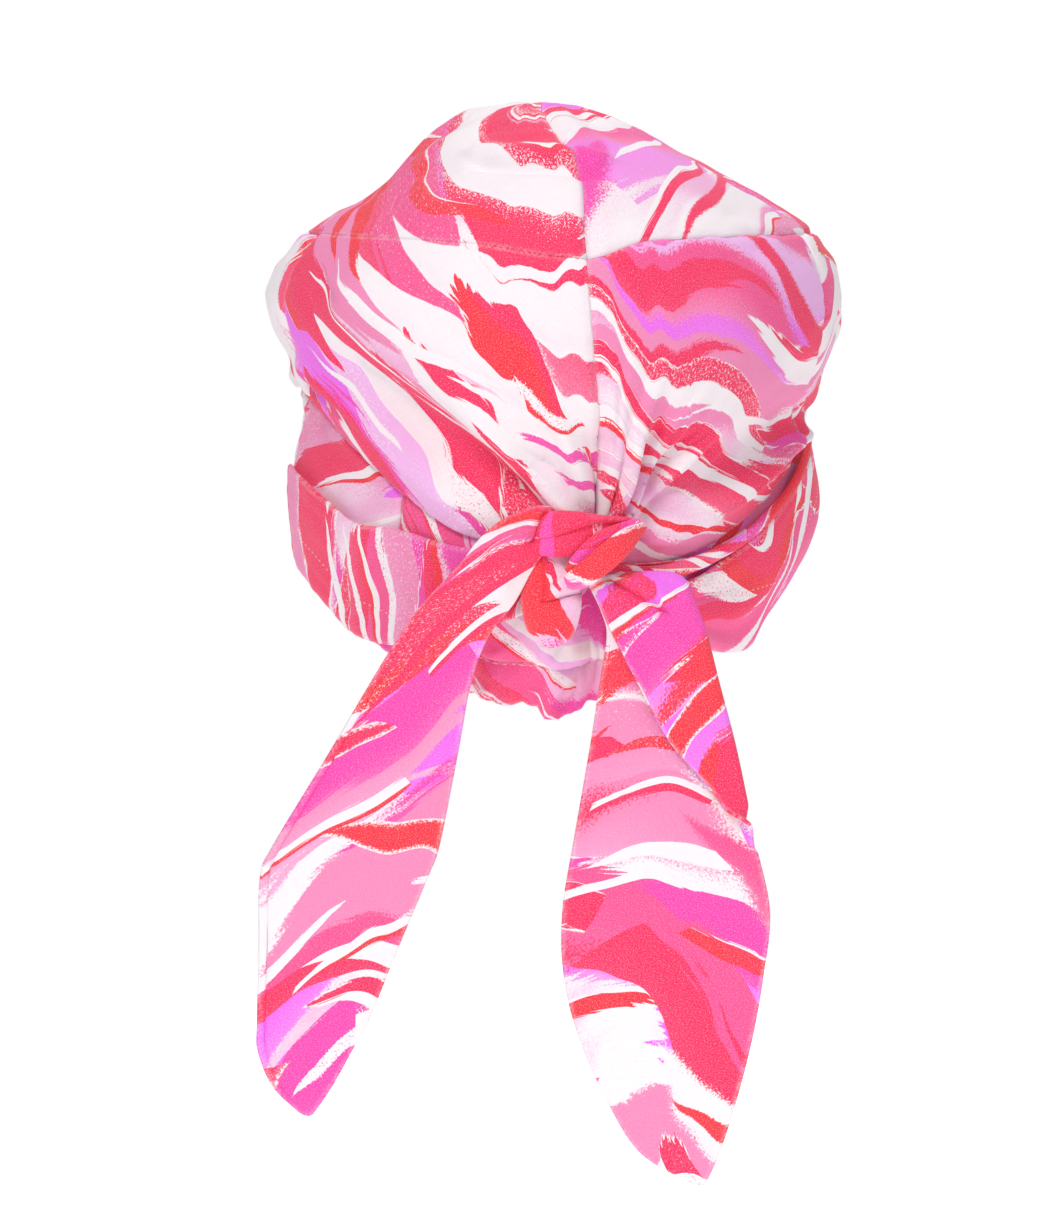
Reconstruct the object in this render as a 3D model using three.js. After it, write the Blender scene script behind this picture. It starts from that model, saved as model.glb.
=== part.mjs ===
/**
 * Pre-tied turban in printed cotton: a puffed crown of sewn panels, two broad ties that meet in a
 * knot low on the back of the head and hang down as tails, and an elastic hem at the nape.
 *
 * Millimetres, +Z up. The wearer faces +Y, so the knot is at -Y, and the wearer's right is +X.
 * The origin is the middle of the head opening, level with the tops of the ears.
 *
 * Places on the worn surface are given by two numbers. The azimuth is in degrees from straight
 * back, positive to the wearer's right, 180 at the brow. The height t runs from 0 at the hem to
 * 1 at the top of the crown.
 */
import * as THREE from "three";

// ---- Driving dimensions ----------------------------------------------------------------------

const CLOTH = 1.2; // wall of a panel with its seam allowances
const TIE_CLOTH = 1.6; // ties and tails, two layers sewn and turned out
const SEAM_GAP = 0.3; // between panels that are sewn edge to edge
const LAYER_GAP = 1; // between cloths that lie on each other
const SURFACE_HEIGHT = 255; // length of cloth from hem to top along the back
const LEAST_REACH = 5; // least radius used to measure distances round the top of the crown
const SEAM_INSET_DEG = 0.1; // half a seam gap seen from the head's middle
const SEAM_INSET_T = SEAM_GAP / 2 / SURFACE_HEIGHT;
const SEAM_START_T = 0.3; // height t where a panel's side edges are first looked up
const PROBE = 0.01; // share of a path or sheet between the places that give its direction
const PROBE_T = 0.004; // the same on the worn surface
const TOP_NORMAL = { from: 0.93, last: 0.985, to: 0.99 }; // t where normals turn straight up

/** Rings round the head: height at back, side and front, and reach to each side of the origin. */
const RINGS = [
  { t: -0.05, backZ: -61, sideZ: -14, frontZ: -1, left: 79.5, right: 75.5, back: 77, front: 94 },
  { t: 0, backZ: -50, sideZ: -3, frontZ: 10, left: 80.5, right: 78.5, back: 83, front: 96 },
  { t: 0.065, backZ: -36, sideZ: 12, frontZ: 24, left: 82, right: 83, back: 91, front: 98 },
  { t: 0.13, backZ: -20, sideZ: 27, frontZ: 37, left: 81.5, right: 81, back: 97, front: 98 },
  { t: 0.2, backZ: 1, sideZ: 41, frontZ: 50, left: 78.5, right: 78.5, back: 100, front: 97 },
  { t: 0.28, backZ: 24, sideZ: 54, frontZ: 62, left: 79.5, right: 85.5, back: 106, front: 97 },
  { t: 0.44, backZ: 66, sideZ: 77, frontZ: 84, left: 89.5, right: 90.5, back: 110, front: 92 },
  { t: 0.58, backZ: 98, sideZ: 96, frontZ: 106, left: 80, right: 84, back: 98, front: 78 },
  { t: 0.7, backZ: 119, sideZ: 110, frontZ: 121, left: 56, right: 66, back: 76, front: 60 },
  { t: 0.84, backZ: 133, sideZ: 126, frontZ: 133, left: 35, right: 33, back: 42, front: 36 },
  { t: 1, backZ: 139, sideZ: 139, frontZ: 139, left: 3, right: -3, back: 0, front: 0 },
];

/** Middle seam down the back, which leans to the wearer's right. */
const BACK_SEAM = [
  { t: 0, azimuth: 8 },
  { t: 0.38, azimuth: 8 },
  { t: 0.58, azimuth: 5.5 },
  { t: 0.7, azimuth: 3 },
  { t: 0.82, azimuth: 0 },
  { t: 1, azimuth: 0 },
];

/** Seam between the crown's top and the panels below it. */
const CROSS_SEAM = [
  { azimuth: -180, t: 0.6 },
  { azimuth: -90, t: 0.6 },
  { azimuth: -20, t: 0.575 },
  { azimuth: 6, t: 0.553 },
  { azimuth: 20, t: 0.58 },
  { azimuth: 90, t: 0.6 },
  { azimuth: 180, t: 0.6 },
];

/** Lower edge of the crown, where its puff ends over the band and the ties. */
const CROWN_EDGE = [
  { azimuth: -180, t: 0.2 },
  { azimuth: -110, t: 0.235 },
  { azimuth: -85, t: 0.25 },
  { azimuth: -56, t: 0.232 },
  { azimuth: -29, t: 0.208 },
  { azimuth: -8, t: 0.2 },
  { azimuth: 12, t: 0.185 },
  { azimuth: 28, t: 0.16 },
  { azimuth: 50, t: 0.146 },
  { azimuth: 66, t: 0.15 },
  { azimuth: 85, t: 0.18 },
  { azimuth: 110, t: 0.2 },
  { azimuth: 180, t: 0.2 },
];

/** Hem of the head opening. It arches up between the right side and the nape. */
const HEM = [
  { azimuth: -180, t: 0 },
  { azimuth: -40, t: 0 },
  { azimuth: -16, t: 0.014 },
  { azimuth: -4, t: 0.014 },
  { azimuth: 2, t: 0 },
  { azimuth: 12, t: 0.026 },
  { azimuth: 34, t: 0.045 },
  { azimuth: 42, t: 0.02 },
  { azimuth: 54, t: 0 },
  { azimuth: 180, t: 0 },
];

const SIDE_SEAM = 70; // azimuth of the crown's side seams
const BACK_COLUMNS = 10; // steps of the crown from its middle seam to a side seam
const FRONT_COLUMNS = 22; // steps of the crown's front from side seam to side seam
const OVERHANG_GAP_T = 0.003; // extra room between the crown's lower edge and the band
const TIE_SEAM = 86; // azimuth of the seams that hold the ties' roots
const NAPE_HALF = 38; // azimuth where the nape's gathers end
const CASING_TOP = 0.068; // height t of the row of stitches over the elastic

/**
 * Ridges (height above 0) and creases (height below 0) of the crown, each along a straight line
 * on the cloth. Width and height are in millimetres.
 */
const FOLDS_FADE_T = 0.9; // height t from which the folds flatten towards the crown's top
const FOLDS = [
  { azimuth0: -26, t0: 0.722, azimuth1: 9, t1: 0.69, width: 7, height: -3 },
  { azimuth0: -30, t0: 0.76, azimuth1: 10, t1: 0.74, width: 8, height: 2 },
  { azimuth0: -70, t0: 0.78, azimuth1: -95, t1: 0.88, width: 15, height: 4 },
  { azimuth0: -42, t0: 0.46, azimuth1: -10, t1: 0.33, width: 13, height: 4 },
  { azimuth0: -46, t0: 0.37, azimuth1: -12, t1: 0.265, width: 9, height: -4 },
  { azimuth0: -66, t0: 0.33, azimuth1: -24, t1: 0.245, width: 8, height: 3 },
  { azimuth0: 8, t0: 0.32, azimuth1: 8, t1: 0.24, width: 6, height: -4 },
  { azimuth0: 21, t0: 0.3, azimuth1: 20, t1: 0.215, width: 7, height: -5 },
  { azimuth0: 14, t0: 0.3, azimuth1: 13, t1: 0.23, width: 6, height: 3 },
  { azimuth0: 26, t0: 0.27, azimuth1: 62, t1: 0.235, width: 12, height: -3.5 },
  { azimuth0: 24, t0: 0.2, azimuth1: 72, t1: 0.185, width: 7, height: 4 },
  { azimuth0: -70, t0: 0.2, azimuth1: -34, t1: 0.185, width: 9, height: -2 },
  { azimuth0: 100, t0: 0.25, azimuth1: 180, t1: 0.25, width: 12, height: 4 },
  { azimuth0: -180, t0: 0.25, azimuth1: -100, t1: 0.25, width: 12, height: 4 },
  { azimuth0: 120, t0: 0.36, azimuth1: 168, t1: 0.52, width: 12, height: 3 },
  { azimuth0: -150, t0: 0.34, azimuth1: -172, t1: 0.5, width: 12, height: -3 },
];

const GATHER_PITCH_DEG = 12.6; // one ridge of the gathered nape
const GATHER_HEIGHT = 1.4;
const GATHER_FADE = { degrees: 8, from: 0.12, to: 0.17 }; // at the gathers' sides and upper end

/** Edges of each tie on the worn surface, from its root at the side to the knot. */
const TIE_LEFT = [
  { azimuth: -86, low: -0.004, high: 0.118 },
  { azimuth: -60, low: -0.006, high: 0.135 },
  { azimuth: -48, low: -0.004, high: 0.143 },
  { azimuth: -36, low: 0.03, high: 0.172 },
  { azimuth: -20, low: 0.105, high: 0.192 },
  { azimuth: 3, low: 0.165, high: 0.215 },
];
const TIE_RIGHT = [
  { azimuth: 86, low: 0.03, high: 0.145 },
  { azimuth: 68, low: 0.012, high: 0.13 },
  { azimuth: 56, low: -0.006, high: 0.124 },
  { azimuth: 51, low: -0.035, high: 0.124 },
  { azimuth: 40, low: 0.004, high: 0.128 },
  { azimuth: 28, low: 0.07, high: 0.138 },
  { azimuth: 10, low: 0.15, high: 0.178 },
];

/** The rolled edge above the right tie, from the side to the knot. */
const ROLL = [
  { azimuth: 84, t: 0.168, radius: 1.3 },
  { azimuth: 66, t: 0.139, radius: 1.7 },
  { azimuth: 50, t: 0.136, radius: 2 },
  { azimuth: 36, t: 0.146, radius: 2.4 },
  { azimuth: 22, t: 0.164, radius: 3 },
];

/** The strand of turned cloth across the knot, longer than it is high. */
const KNOT = {
  x: 11.8,
  y: -108.2,
  z: 7.2,
  halfWidth: 11.5,
  halfDepth: 5.1,
  halfHeight: 6.8,
  fullness: 0.8, // power of the outline: below 1 the ends are blunter than an ellipse's
};

/** The broad turn over the knot: its middle line from low left to high right. */
const TURN = [
  { x: 6.5, y: -109.3, z: -5.2, halfWidth: 2.5 },
  { x: 9.5, y: -114.6, z: -2.5, halfWidth: 4.5 },
  { x: 14, y: -117.6, z: 1.5, halfWidth: 5.8 },
  { x: 18.5, y: -117.1, z: 5.5, halfWidth: 6 },
  { x: 22.5, y: -114.1, z: 8.5, halfWidth: 5 },
  { x: 25.5, y: -109.3, z: 10.5, halfWidth: 3 },
];
const TURN_SLANT_DEG = 38;
const TURN_CURL = 1.6; // how far the turn's edges bend back towards the head

/** The pocket of cloth that droops out of the knot: half-widths and place down its length. */
const PUFF = [
  { z: -1.5, x: 1, y: -107.2, halfWidth: 7.4 },
  { z: -10, x: -0.5, y: -107.6, halfWidth: 8.8 },
  { z: -16, x: -0.5, y: -107.6, halfWidth: 8.3 },
  { z: -21, x: -0.6, y: -106.4, halfWidth: 6.9 },
  { z: -24.3, x: -0.6, y: -104.4, halfWidth: 5 },
  { z: -26, x: -0.6, y: -101.6, halfWidth: 2.6 },
];
const PUFF_BULGE = 3; // how far the pocket's middle stands out before its edges

/**
 * Tails from knot to tip: the middle of each row across the tail, its half-width, the angle by
 * which its right end is raised and how far its edges curl back towards the head.
 */
const TAIL_LEFT = [
  { x: -3.7, y: -108.8, z: 11, halfWidth: 6, tiltDeg: -57, curl: 2 },
  { x: -12, y: -111, z: 5, halfWidth: 10, tiltDeg: -12, curl: 3 },
  { x: -17, y: -111, z: -1, halfWidth: 11.5, tiltDeg: 2, curl: 3.5 },
  { x: -26, y: -109.5, z: -13, halfWidth: 14, tiltDeg: 3, curl: 4 },
  { x: -35, y: -107.5, z: -24, halfWidth: 14, tiltDeg: 2, curl: 3.5 },
  { x: -42, y: -105.5, z: -38, halfWidth: 16.5, tiltDeg: 0, curl: 3 },
  { x: -51, y: -103.5, z: -60, halfWidth: 21, tiltDeg: 0, curl: 2.5 },
  { x: -63, y: -102, z: -92, halfWidth: 25.3, tiltDeg: 0, curl: 2 },
  { x: -69.3, y: -101, z: -120, halfWidth: 21, tiltDeg: 0, curl: 1.5 },
  { x: -74.6, y: -101, z: -145, halfWidth: 16.3, tiltDeg: 0, curl: 1 },
  { x: -76.8, y: -101, z: -163, halfWidth: 9, tiltDeg: 0, curl: 0.5 },
  { x: -76, y: -101, z: -171.5, halfWidth: 1.4, tiltDeg: 0, curl: 0 },
];
const TAIL_RIGHT = [
  { x: 15, y: -107.5, z: -4.8, halfWidth: 5.5, tiltDeg: 12, curl: 2, flap: 8 },
  { x: 25, y: -109.5, z: -7, halfWidth: 13, tiltDeg: 12, curl: 3, flap: 20 },
  { x: 29, y: -109.5, z: -14, halfWidth: 14, tiltDeg: 7, curl: 3, flap: 24 },
  { x: 31.8, y: -108.5, z: -23, halfWidth: 15, tiltDeg: 0, curl: 2.5, flap: 26 },
  { x: 32.6, y: -107.5, z: -38, halfWidth: 18, tiltDeg: 0, curl: 2.5, flap: 22.5 },
  { x: 33.6, y: -106, z: -55, halfWidth: 21.5, tiltDeg: 0, curl: 2, flap: 18 },
  { x: 34, y: -105, z: -71, halfWidth: 24.6, tiltDeg: 0, curl: 2, flap: 8 },
  { x: 34.2, y: -104, z: -86, halfWidth: 27.4, tiltDeg: 0, curl: 1.5, flap: 2 },
  { x: 34.8, y: -103.5, z: -108, halfWidth: 31.5, tiltDeg: 0, curl: 1.5, flap: 1 },
  { x: 34, y: -103, z: -128, halfWidth: 30.4, tiltDeg: 0, curl: 1, flap: 1 },
  { x: 34.6, y: -103, z: -147, halfWidth: 26.5, tiltDeg: 0, curl: 1, flap: 1 },
  { x: 36.4, y: -103, z: -166, halfWidth: 20, tiltDeg: 0, curl: 0.5, flap: 1 },
  { x: 39, y: -103, z: -183, halfWidth: 12, tiltDeg: 0, curl: 0, flap: 1 },
  { x: 45, y: -103, z: -193, halfWidth: 1.6, tiltDeg: 0, curl: 0, flap: 1 },
];
const TURN_RADIUS = 1.5; // of the right tail's folded edge, at the middle of its wall
const FLAP_OPENS = { from: 1.5, to: 6 }; // widths of flap over which the edge turns over
const TAIL_SECTION = { flat: 0.6, turned: 0.75 }; // shares of the tail's columns

/** Colours of the cotton print's main tones. */
const COLOUR = {
  rose: 0xf4a9c2,
  blush: 0xf9dfe8,
  crimson: 0xe83a63,
  magenta: 0xf052ab,
  orchid: 0xe58bea,
};

// ---- Reading tables --------------------------------------------------------------------------

/** Every column of a table at one value of its key column, smooth from row to row. */
function readTable(rows, keyName, key) {
  const last = rows.length - 1;
  const rising = Math.sign(rows[1][keyName] - rows[0][keyName]);
  let i = 0;
  while (i < last - 1 && (rows[i + 1][keyName] - key) * rising < 0) {
    i += 1;
  }
  const span = rows[i + 1][keyName] - rows[i][keyName];
  const u = THREE.MathUtils.clamp((key - rows[i][keyName]) / span, 0, 1);
  const slopeAt = (k, column) => {
    const before = rows[Math.max(k - 1, 0)];
    const after = rows[Math.min(k + 1, last)];
    return (after[column] - before[column]) / (after[keyName] - before[keyName]);
  };
  const found = {};
  for (const column of Object.keys(rows[0])) {
    const start = rows[i][column];
    const end = rows[i + 1][column];
    const leaving = slopeAt(i, column) * span;
    const arriving = slopeAt(i + 1, column) * span;
    found[column] =
      start * (2 * u ** 3 - 3 * u ** 2 + 1) +
      leaving * (u ** 3 - 2 * u ** 2 + u) +
      end * (3 * u ** 2 - 2 * u ** 3) +
      arriving * (u ** 3 - u ** 2);
  }
  return found;
}

/** A table of a path read by the share of its rows, 0 at the first row and 1 at the last. */
function readPath(rows, share) {
  const numbered = rows.map((row, index) => ({ ...row, index: index / (rows.length - 1) }));
  return readTable(numbered, "index", share);
}

const lerp = THREE.MathUtils.lerp;

// ---- The worn surface ------------------------------------------------------------------------

/** Point of the smooth worn surface, before its folds. */
function smoothPoint(azimuth, t) {
  const ring = readTable(RINGS, "t", t);
  const turn = THREE.MathUtils.degToRad(azimuth);
  const ahead = -Math.cos(turn);
  const endZ = ahead < 0 ? ring.backZ : ring.frontZ;
  return new THREE.Vector3(
    (ring.right - ring.left) / 2 + ((ring.right + ring.left) / 2) * Math.sin(turn),
    (ring.front - ring.back) / 2 + ((ring.front + ring.back) / 2) * ahead,
    lerp(ring.sideZ, endZ, ahead * ahead),
  );
}

/** Outward direction of the worn surface, straight up at the top of the crown. */
function surfaceNormal(azimuth, t) {
  const top = THREE.MathUtils.smoothstep(t, TOP_NORMAL.from, TOP_NORMAL.to);
  const at = Math.min(t, TOP_NORMAL.last);
  const along = smoothPoint(azimuth + 1, at).sub(smoothPoint(azimuth - 1, at));
  const up = smoothPoint(azimuth, at + PROBE_T).sub(smoothPoint(azimuth, at - PROBE_T));
  const normal = along.cross(up).normalize();
  return normal.lerp(new THREE.Vector3(0, 0, 1), top).normalize();
}

/** How strongly the nape's elastic gathers the cloth, from 0 to 1. */
function gathering(azimuth, t) {
  const inside = NAPE_HALF - GATHER_FADE.degrees;
  const beside = 1 - THREE.MathUtils.smoothstep(Math.abs(azimuth), inside, NAPE_HALF);
  return beside * (1 - THREE.MathUtils.smoothstep(t, GATHER_FADE.from, GATHER_FADE.to));
}

/** Height of the folds over the smooth surface, which fade out at the top of the crown. */
function foldHeight(azimuth, t) {
  const ring = readTable(RINGS, "t", t);
  const reach = Math.max((ring.left + ring.right + ring.back + ring.front) / 4, LEAST_REACH);
  const perDegree = THREE.MathUtils.degToRad(reach);
  let height = 0;
  for (const fold of FOLDS) {
    const point = new THREE.Vector2(azimuth * perDegree, t * SURFACE_HEIGHT);
    const start = new THREE.Vector2(fold.azimuth0 * perDegree, fold.t0 * SURFACE_HEIGHT);
    const line = new THREE.Vector2(fold.azimuth1 * perDegree, fold.t1 * SURFACE_HEIGHT).sub(start);
    const share = THREE.MathUtils.clamp(point.clone().sub(start).dot(line) / line.lengthSq(), 0, 1);
    const distance = point.distanceTo(start.addScaledVector(line, share));
    height += fold.height * Math.exp(-((distance / fold.width) ** 2));
  }
  return height * (1 - THREE.MathUtils.smoothstep(t, FOLDS_FADE_T, 1));
}

/** Point at a distance `lift` outside the folded surface, before its gathers. */
function foldedPoint(azimuth, t, lift) {
  const height = lift + foldHeight(azimuth, t);
  return smoothPoint(azimuth, t).addScaledVector(surfaceNormal(azimuth, t), height);
}

/** Point at a distance `lift` outside the surface with its folds and gathers. */
function wornPoint(azimuth, t, lift) {
  const ripple = GATHER_HEIGHT * Math.cos((azimuth / GATHER_PITCH_DEG) * 2 * Math.PI);
  return foldedPoint(azimuth, t, lift + gathering(azimuth, t) * ripple);
}

// ---- Making solids ---------------------------------------------------------------------------

/** Collects triangles, merging points that coincide and dropping triangles that vanish. */
class SolidBuilder {
  constructor() {
    this.positions = [];
    this.indices = [];
    this.known = new Map();
  }

  vertex(point) {
    const key = point.toArray().map((value) => Math.round(value * 1000)).join();
    if (!this.known.has(key)) {
      this.known.set(key, this.positions.length / 3);
      this.positions.push(point.x, point.y, point.z);
    }
    return this.known.get(key);
  }

  triangle(a, b, c) {
    if (a !== b && b !== c && c !== a) {
      this.indices.push(a, b, c);
    }
  }

  quad(a, b, c, d) {
    this.triangle(a, b, c);
    this.triangle(a, c, d);
  }

  mesh(name, colour) {
    const geometry = new THREE.BufferGeometry();
    geometry.setAttribute("position", new THREE.Float32BufferAttribute(this.positions, 3));
    geometry.setIndex(this.indices);
    const material = new THREE.MeshStandardMaterial({ color: colour, roughness: 0.85, metalness: 0 });
    const mesh = new THREE.Mesh(geometry, material);
    mesh.name = name;
    return mesh;
  }
}

/**
 * A sheet of cloth as a closed solid: an outer skin, an inner skin and the wall round its edge.
 * `at(u, v, lift)` gives a point for u and v from 0 to 1, where u x v points out of the cloth.
 */
function clothSheet(name, { columns, rows, wall, colour, at }) {
  const builder = new SolidBuilder();
  const skin = (lift) =>
    Array.from({ length: rows + 1 }, (_, j) =>
      Array.from({ length: columns + 1 }, (__, i) => builder.vertex(at(i / columns, j / rows, lift))),
    );
  const outer = skin(wall / 2);
  const inner = skin(-wall / 2);
  for (let j = 0; j < rows; j += 1) {
    for (let i = 0; i < columns; i += 1) {
      builder.quad(outer[j][i], outer[j][i + 1], outer[j + 1][i + 1], outer[j + 1][i]);
      builder.quad(inner[j][i], inner[j + 1][i], inner[j + 1][i + 1], inner[j][i + 1]);
    }
    builder.quad(outer[j][0], outer[j + 1][0], inner[j + 1][0], inner[j][0]);
    builder.quad(outer[j][columns], inner[j][columns], inner[j + 1][columns], outer[j + 1][columns]);
  }
  for (let i = 0; i < columns; i += 1) {
    builder.quad(outer[0][i], inner[0][i], inner[0][i + 1], outer[0][i + 1]);
    builder.quad(outer[rows][i], outer[rows][i + 1], inner[rows][i + 1], inner[rows][i]);
  }
  return builder.mesh(name, colour);
}

/** A point function with a normal of its own, from a middle surface `middle(u, v)`. */
function lifted(middle) {
  return (u, v, lift) => {
    const along = middle(Math.min(u + PROBE, 1), v).sub(middle(Math.max(u - PROBE, 0), v));
    const up = middle(u, Math.min(v + PROBE, 1)).sub(middle(u, Math.max(v - PROBE, 0)));
    return middle(u, v).addScaledVector(along.cross(up).normalize(), lift);
  };
}

/** A closed solid through rings of points, each ring turning the same way, with fans at the ends. */
function ringSolid(name, colour, rings) {
  const builder = new SolidBuilder();
  const loops = rings.map((ring) => ring.map((point) => builder.vertex(point)));
  const sides = loops[0].length;
  for (let j = 0; j + 1 < loops.length; j += 1) {
    for (let i = 0; i < sides; i += 1) {
      const next = (i + 1) % sides;
      builder.quad(loops[j][i], loops[j][next], loops[j + 1][next], loops[j + 1][i]);
    }
  }
  const closeEnd = (ring, loop, flip) => {
    const middle = new THREE.Vector3();
    ring.forEach((point) => middle.addScaledVector(point, 1 / ring.length));
    const centre = builder.vertex(middle);
    for (let i = 0; i < sides; i += 1) {
      const next = (i + 1) % sides;
      builder.triangle(centre, flip ? loop[next] : loop[i], flip ? loop[i] : loop[next]);
    }
  };
  closeEnd(rings[0], loops[0], true);
  closeEnd(rings[rings.length - 1], loops[loops.length - 1], false);
  return builder.mesh(name, colour);
}

// ---- The crown, the band and the nape --------------------------------------------------------

/** A panel of the worn surface between two azimuths and two heights, inset for its seams. */
function wornPanel(name, { columns, rows, colour, left, right, low, high }) {
  return clothSheet(name, {
    columns,
    rows,
    wall: CLOTH,
    colour,
    at: (u, v, lift) => {
      const nearby = lerp(left(SEAM_START_T), right(SEAM_START_T), u);
      const roughT = lerp(low(nearby), high(nearby), v);
      const azimuth = lerp(left(roughT) + SEAM_INSET_DEG, right(roughT) - SEAM_INSET_DEG, u);
      const t = lerp(low(azimuth) + SEAM_INSET_T, high(azimuth) - SEAM_INSET_T, v);
      return wornPoint(azimuth, t, lift);
    },
  });
}

const backSeam = (t) => readTable(BACK_SEAM, "t", t).azimuth;
const crossSeam = (azimuth) => readTable(CROSS_SEAM, "azimuth", azimuth).t;
const crownEdge = (azimuth) => readTable(CROWN_EDGE, "azimuth", azimuth).t;
const hem = (azimuth) => readTable(HEM, "azimuth", azimuth).t;
const wrapAzimuth = (azimuth) => (azimuth > 180 ? azimuth - 360 : azimuth);

/**
 * Half of the crown's top, from the middle seam over the side to the middle of the brow. Its
 * columns meet those of the panels below it: BACK_COLUMNS as far as the side seam, then the rest.
 */
function crownTop(name, colour, side) {
  const columns = BACK_COLUMNS + FRONT_COLUMNS / 2;
  const panel = clothSheet(name, {
    columns,
    rows: 8,
    wall: CLOTH,
    colour,
    at: (u, v, lift) => {
      const column = columns * (side > 0 ? u : 1 - u);
      const azimuthAt = (t) =>
        column < BACK_COLUMNS
          ? lerp(backSeam(t), side * SIDE_SEAM, column / BACK_COLUMNS)
          : side * lerp(SIDE_SEAM, 180, (column - BACK_COLUMNS) / (columns - BACK_COLUMNS));
      const lowest = crossSeam(azimuthAt(crossSeam(0)));
      const t = lerp(lowest + SEAM_INSET_T, 1, v);
      return wornPoint(azimuthAt(t), t, lift);
    },
  });
  panel.position.x = (side * SEAM_GAP) / 2;
  return panel;
}

function crownPanels() {
  const overhang = (azimuth) => crownEdge(azimuth) + OVERHANG_GAP_T;
  return [
    crownTop("crown_top_left", COLOUR.orchid, -1),
    crownTop("crown_top_right", COLOUR.crimson, 1),
    wornPanel("crown_back_left", {
      columns: BACK_COLUMNS,
      rows: 10,
      colour: COLOUR.rose,
      left: () => -SIDE_SEAM,
      right: backSeam,
      low: overhang,
      high: crossSeam,
    }),
    wornPanel("crown_back_right", {
      columns: BACK_COLUMNS,
      rows: 10,
      colour: COLOUR.crimson,
      left: backSeam,
      right: () => SIDE_SEAM,
      low: overhang,
      high: crossSeam,
    }),
    wornPanel("crown_front", {
      columns: FRONT_COLUMNS,
      rows: 9,
      colour: COLOUR.magenta,
      left: () => SIDE_SEAM,
      right: () => 360 - SIDE_SEAM,
      low: (azimuth) => overhang(wrapAzimuth(azimuth)),
      high: (azimuth) => crossSeam(wrapAzimuth(azimuth)),
    }),
  ];
}

function bandPanels() {
  const bandEdge = (azimuth) => crownEdge(wrapAzimuth(azimuth));
  const bandHem = (azimuth) => hem(wrapAzimuth(azimuth));
  return [
    wornPanel("side_left", {
      columns: 7,
      rows: 6,
      colour: COLOUR.blush,
      left: () => -TIE_SEAM,
      right: () => -NAPE_HALF,
      low: hem,
      high: crownEdge,
    }),
    wornPanel("side_right", {
      columns: 7,
      rows: 5,
      colour: COLOUR.blush,
      left: () => NAPE_HALF,
      right: () => TIE_SEAM,
      low: hem,
      high: crownEdge,
    }),
    wornPanel("brow_band", {
      columns: 18,
      rows: 4,
      colour: COLOUR.rose,
      left: () => TIE_SEAM,
      right: () => 360 - TIE_SEAM,
      low: bandHem,
      high: bandEdge,
    }),
    wornPanel("nape_panel", {
      columns: 24,
      rows: 3,
      colour: COLOUR.rose,
      left: () => -NAPE_HALF,
      right: () => NAPE_HALF,
      low: (azimuth) => CASING_TOP + hem(azimuth) / 2,
      high: crownEdge,
    }),
    wornPanel("nape_casing", {
      columns: 24,
      rows: 2,
      colour: COLOUR.crimson,
      left: () => -NAPE_HALF,
      right: () => NAPE_HALF,
      low: hem,
      high: (azimuth) => CASING_TOP + hem(azimuth) / 2,
    }),
  ];
}

// ---- Ties, knot and tails --------------------------------------------------------------------

const TIE_LIFT = CLOTH / 2 + LAYER_GAP + TIE_CLOTH / 2; // from the worn surface to a tie's middle

/** A tie lying on the worn surface from its root to the knot. */
function tie(name, colour, rows) {
  const rightward = rows[0].azimuth < rows[rows.length - 1].azimuth;
  return clothSheet(name, {
    columns: 13,
    rows: 4,
    wall: TIE_CLOTH,
    colour,
    at: (u, v, lift) => {
      const row = readPath(rows, rightward ? u : 1 - u);
      const t = lerp(row.low, row.high, v);
      const bridging = gathering(row.azimuth, t) * (GATHER_HEIGHT + SEAM_GAP);
      return foldedPoint(row.azimuth, t, TIE_LIFT + bridging + lift);
    },
  });
}

/** The rolled edge of the right tie: a soft tube along the lower edge of the crown. */
function tieRoll(name, colour) {
  const steps = 14;
  const sides = 8;
  const middle = (share) => {
    const row = readPath(ROLL, share);
    const lift = CLOTH / 2 + LAYER_GAP + row.radius;
    return { centre: foldedPoint(row.azimuth, row.t, lift), radius: row.radius, row };
  };
  const rings = Array.from({ length: steps + 1 }, (_, j) => {
    const share = j / steps;
    const { centre, radius, row } = middle(share);
    const next = middle(Math.min(share + PROBE, 1)).centre;
    const ahead = next.sub(middle(Math.max(share - PROBE, 0)).centre);
    const out = surfaceNormal(row.azimuth, row.t);
    const across = ahead.clone().normalize().cross(out).normalize();
    return Array.from({ length: sides }, (__, i) => {
      const angle = (i / sides) * 2 * Math.PI;
      return centre
        .clone()
        .addScaledVector(across, radius * Math.cos(angle))
        .addScaledVector(out, radius * Math.sin(angle));
    });
  });
  return ringSolid(name, colour, rings.map((ring) => ring.reverse()));
}

/** The strand across the knot: a closed, rounded solid. */
function knotCore(name, colour) {
  const steps = 10;
  const sides = 14;
  const rings = Array.from({ length: steps - 1 }, (_, j) => {
    const polar = ((j + 1) / steps) * Math.PI;
    const size = Math.sin(polar) ** KNOT.fullness;
    return Array.from({ length: sides }, (__, i) => {
      const angle = (i / sides) * 2 * Math.PI;
      return new THREE.Vector3(
        KNOT.x - KNOT.halfWidth * Math.cos(polar),
        KNOT.y + KNOT.halfDepth * size * Math.cos(angle),
        KNOT.z + KNOT.halfHeight * size * Math.sin(angle),
      );
    });
  });
  return ringSolid(name, colour, rings);
}

/** The broad turn that crosses the front of the knot from low left to high right. */
function knotTurn(name, colour) {
  const slant = THREE.MathUtils.degToRad(TURN_SLANT_DEG);
  const across = new THREE.Vector3(-Math.sin(slant), 0, Math.cos(slant));
  const middle = (u, v) => {
    const row = readPath(TURN, u);
    const side = 2 * v - 1;
    return new THREE.Vector3(row.x, row.y + TURN_CURL * side * side, row.z).addScaledVector(
      across,
      side * row.halfWidth,
    );
  };
  return clothSheet(name, { columns: 12, rows: 4, wall: TIE_CLOTH, colour, at: lifted(middle) });
}

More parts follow.
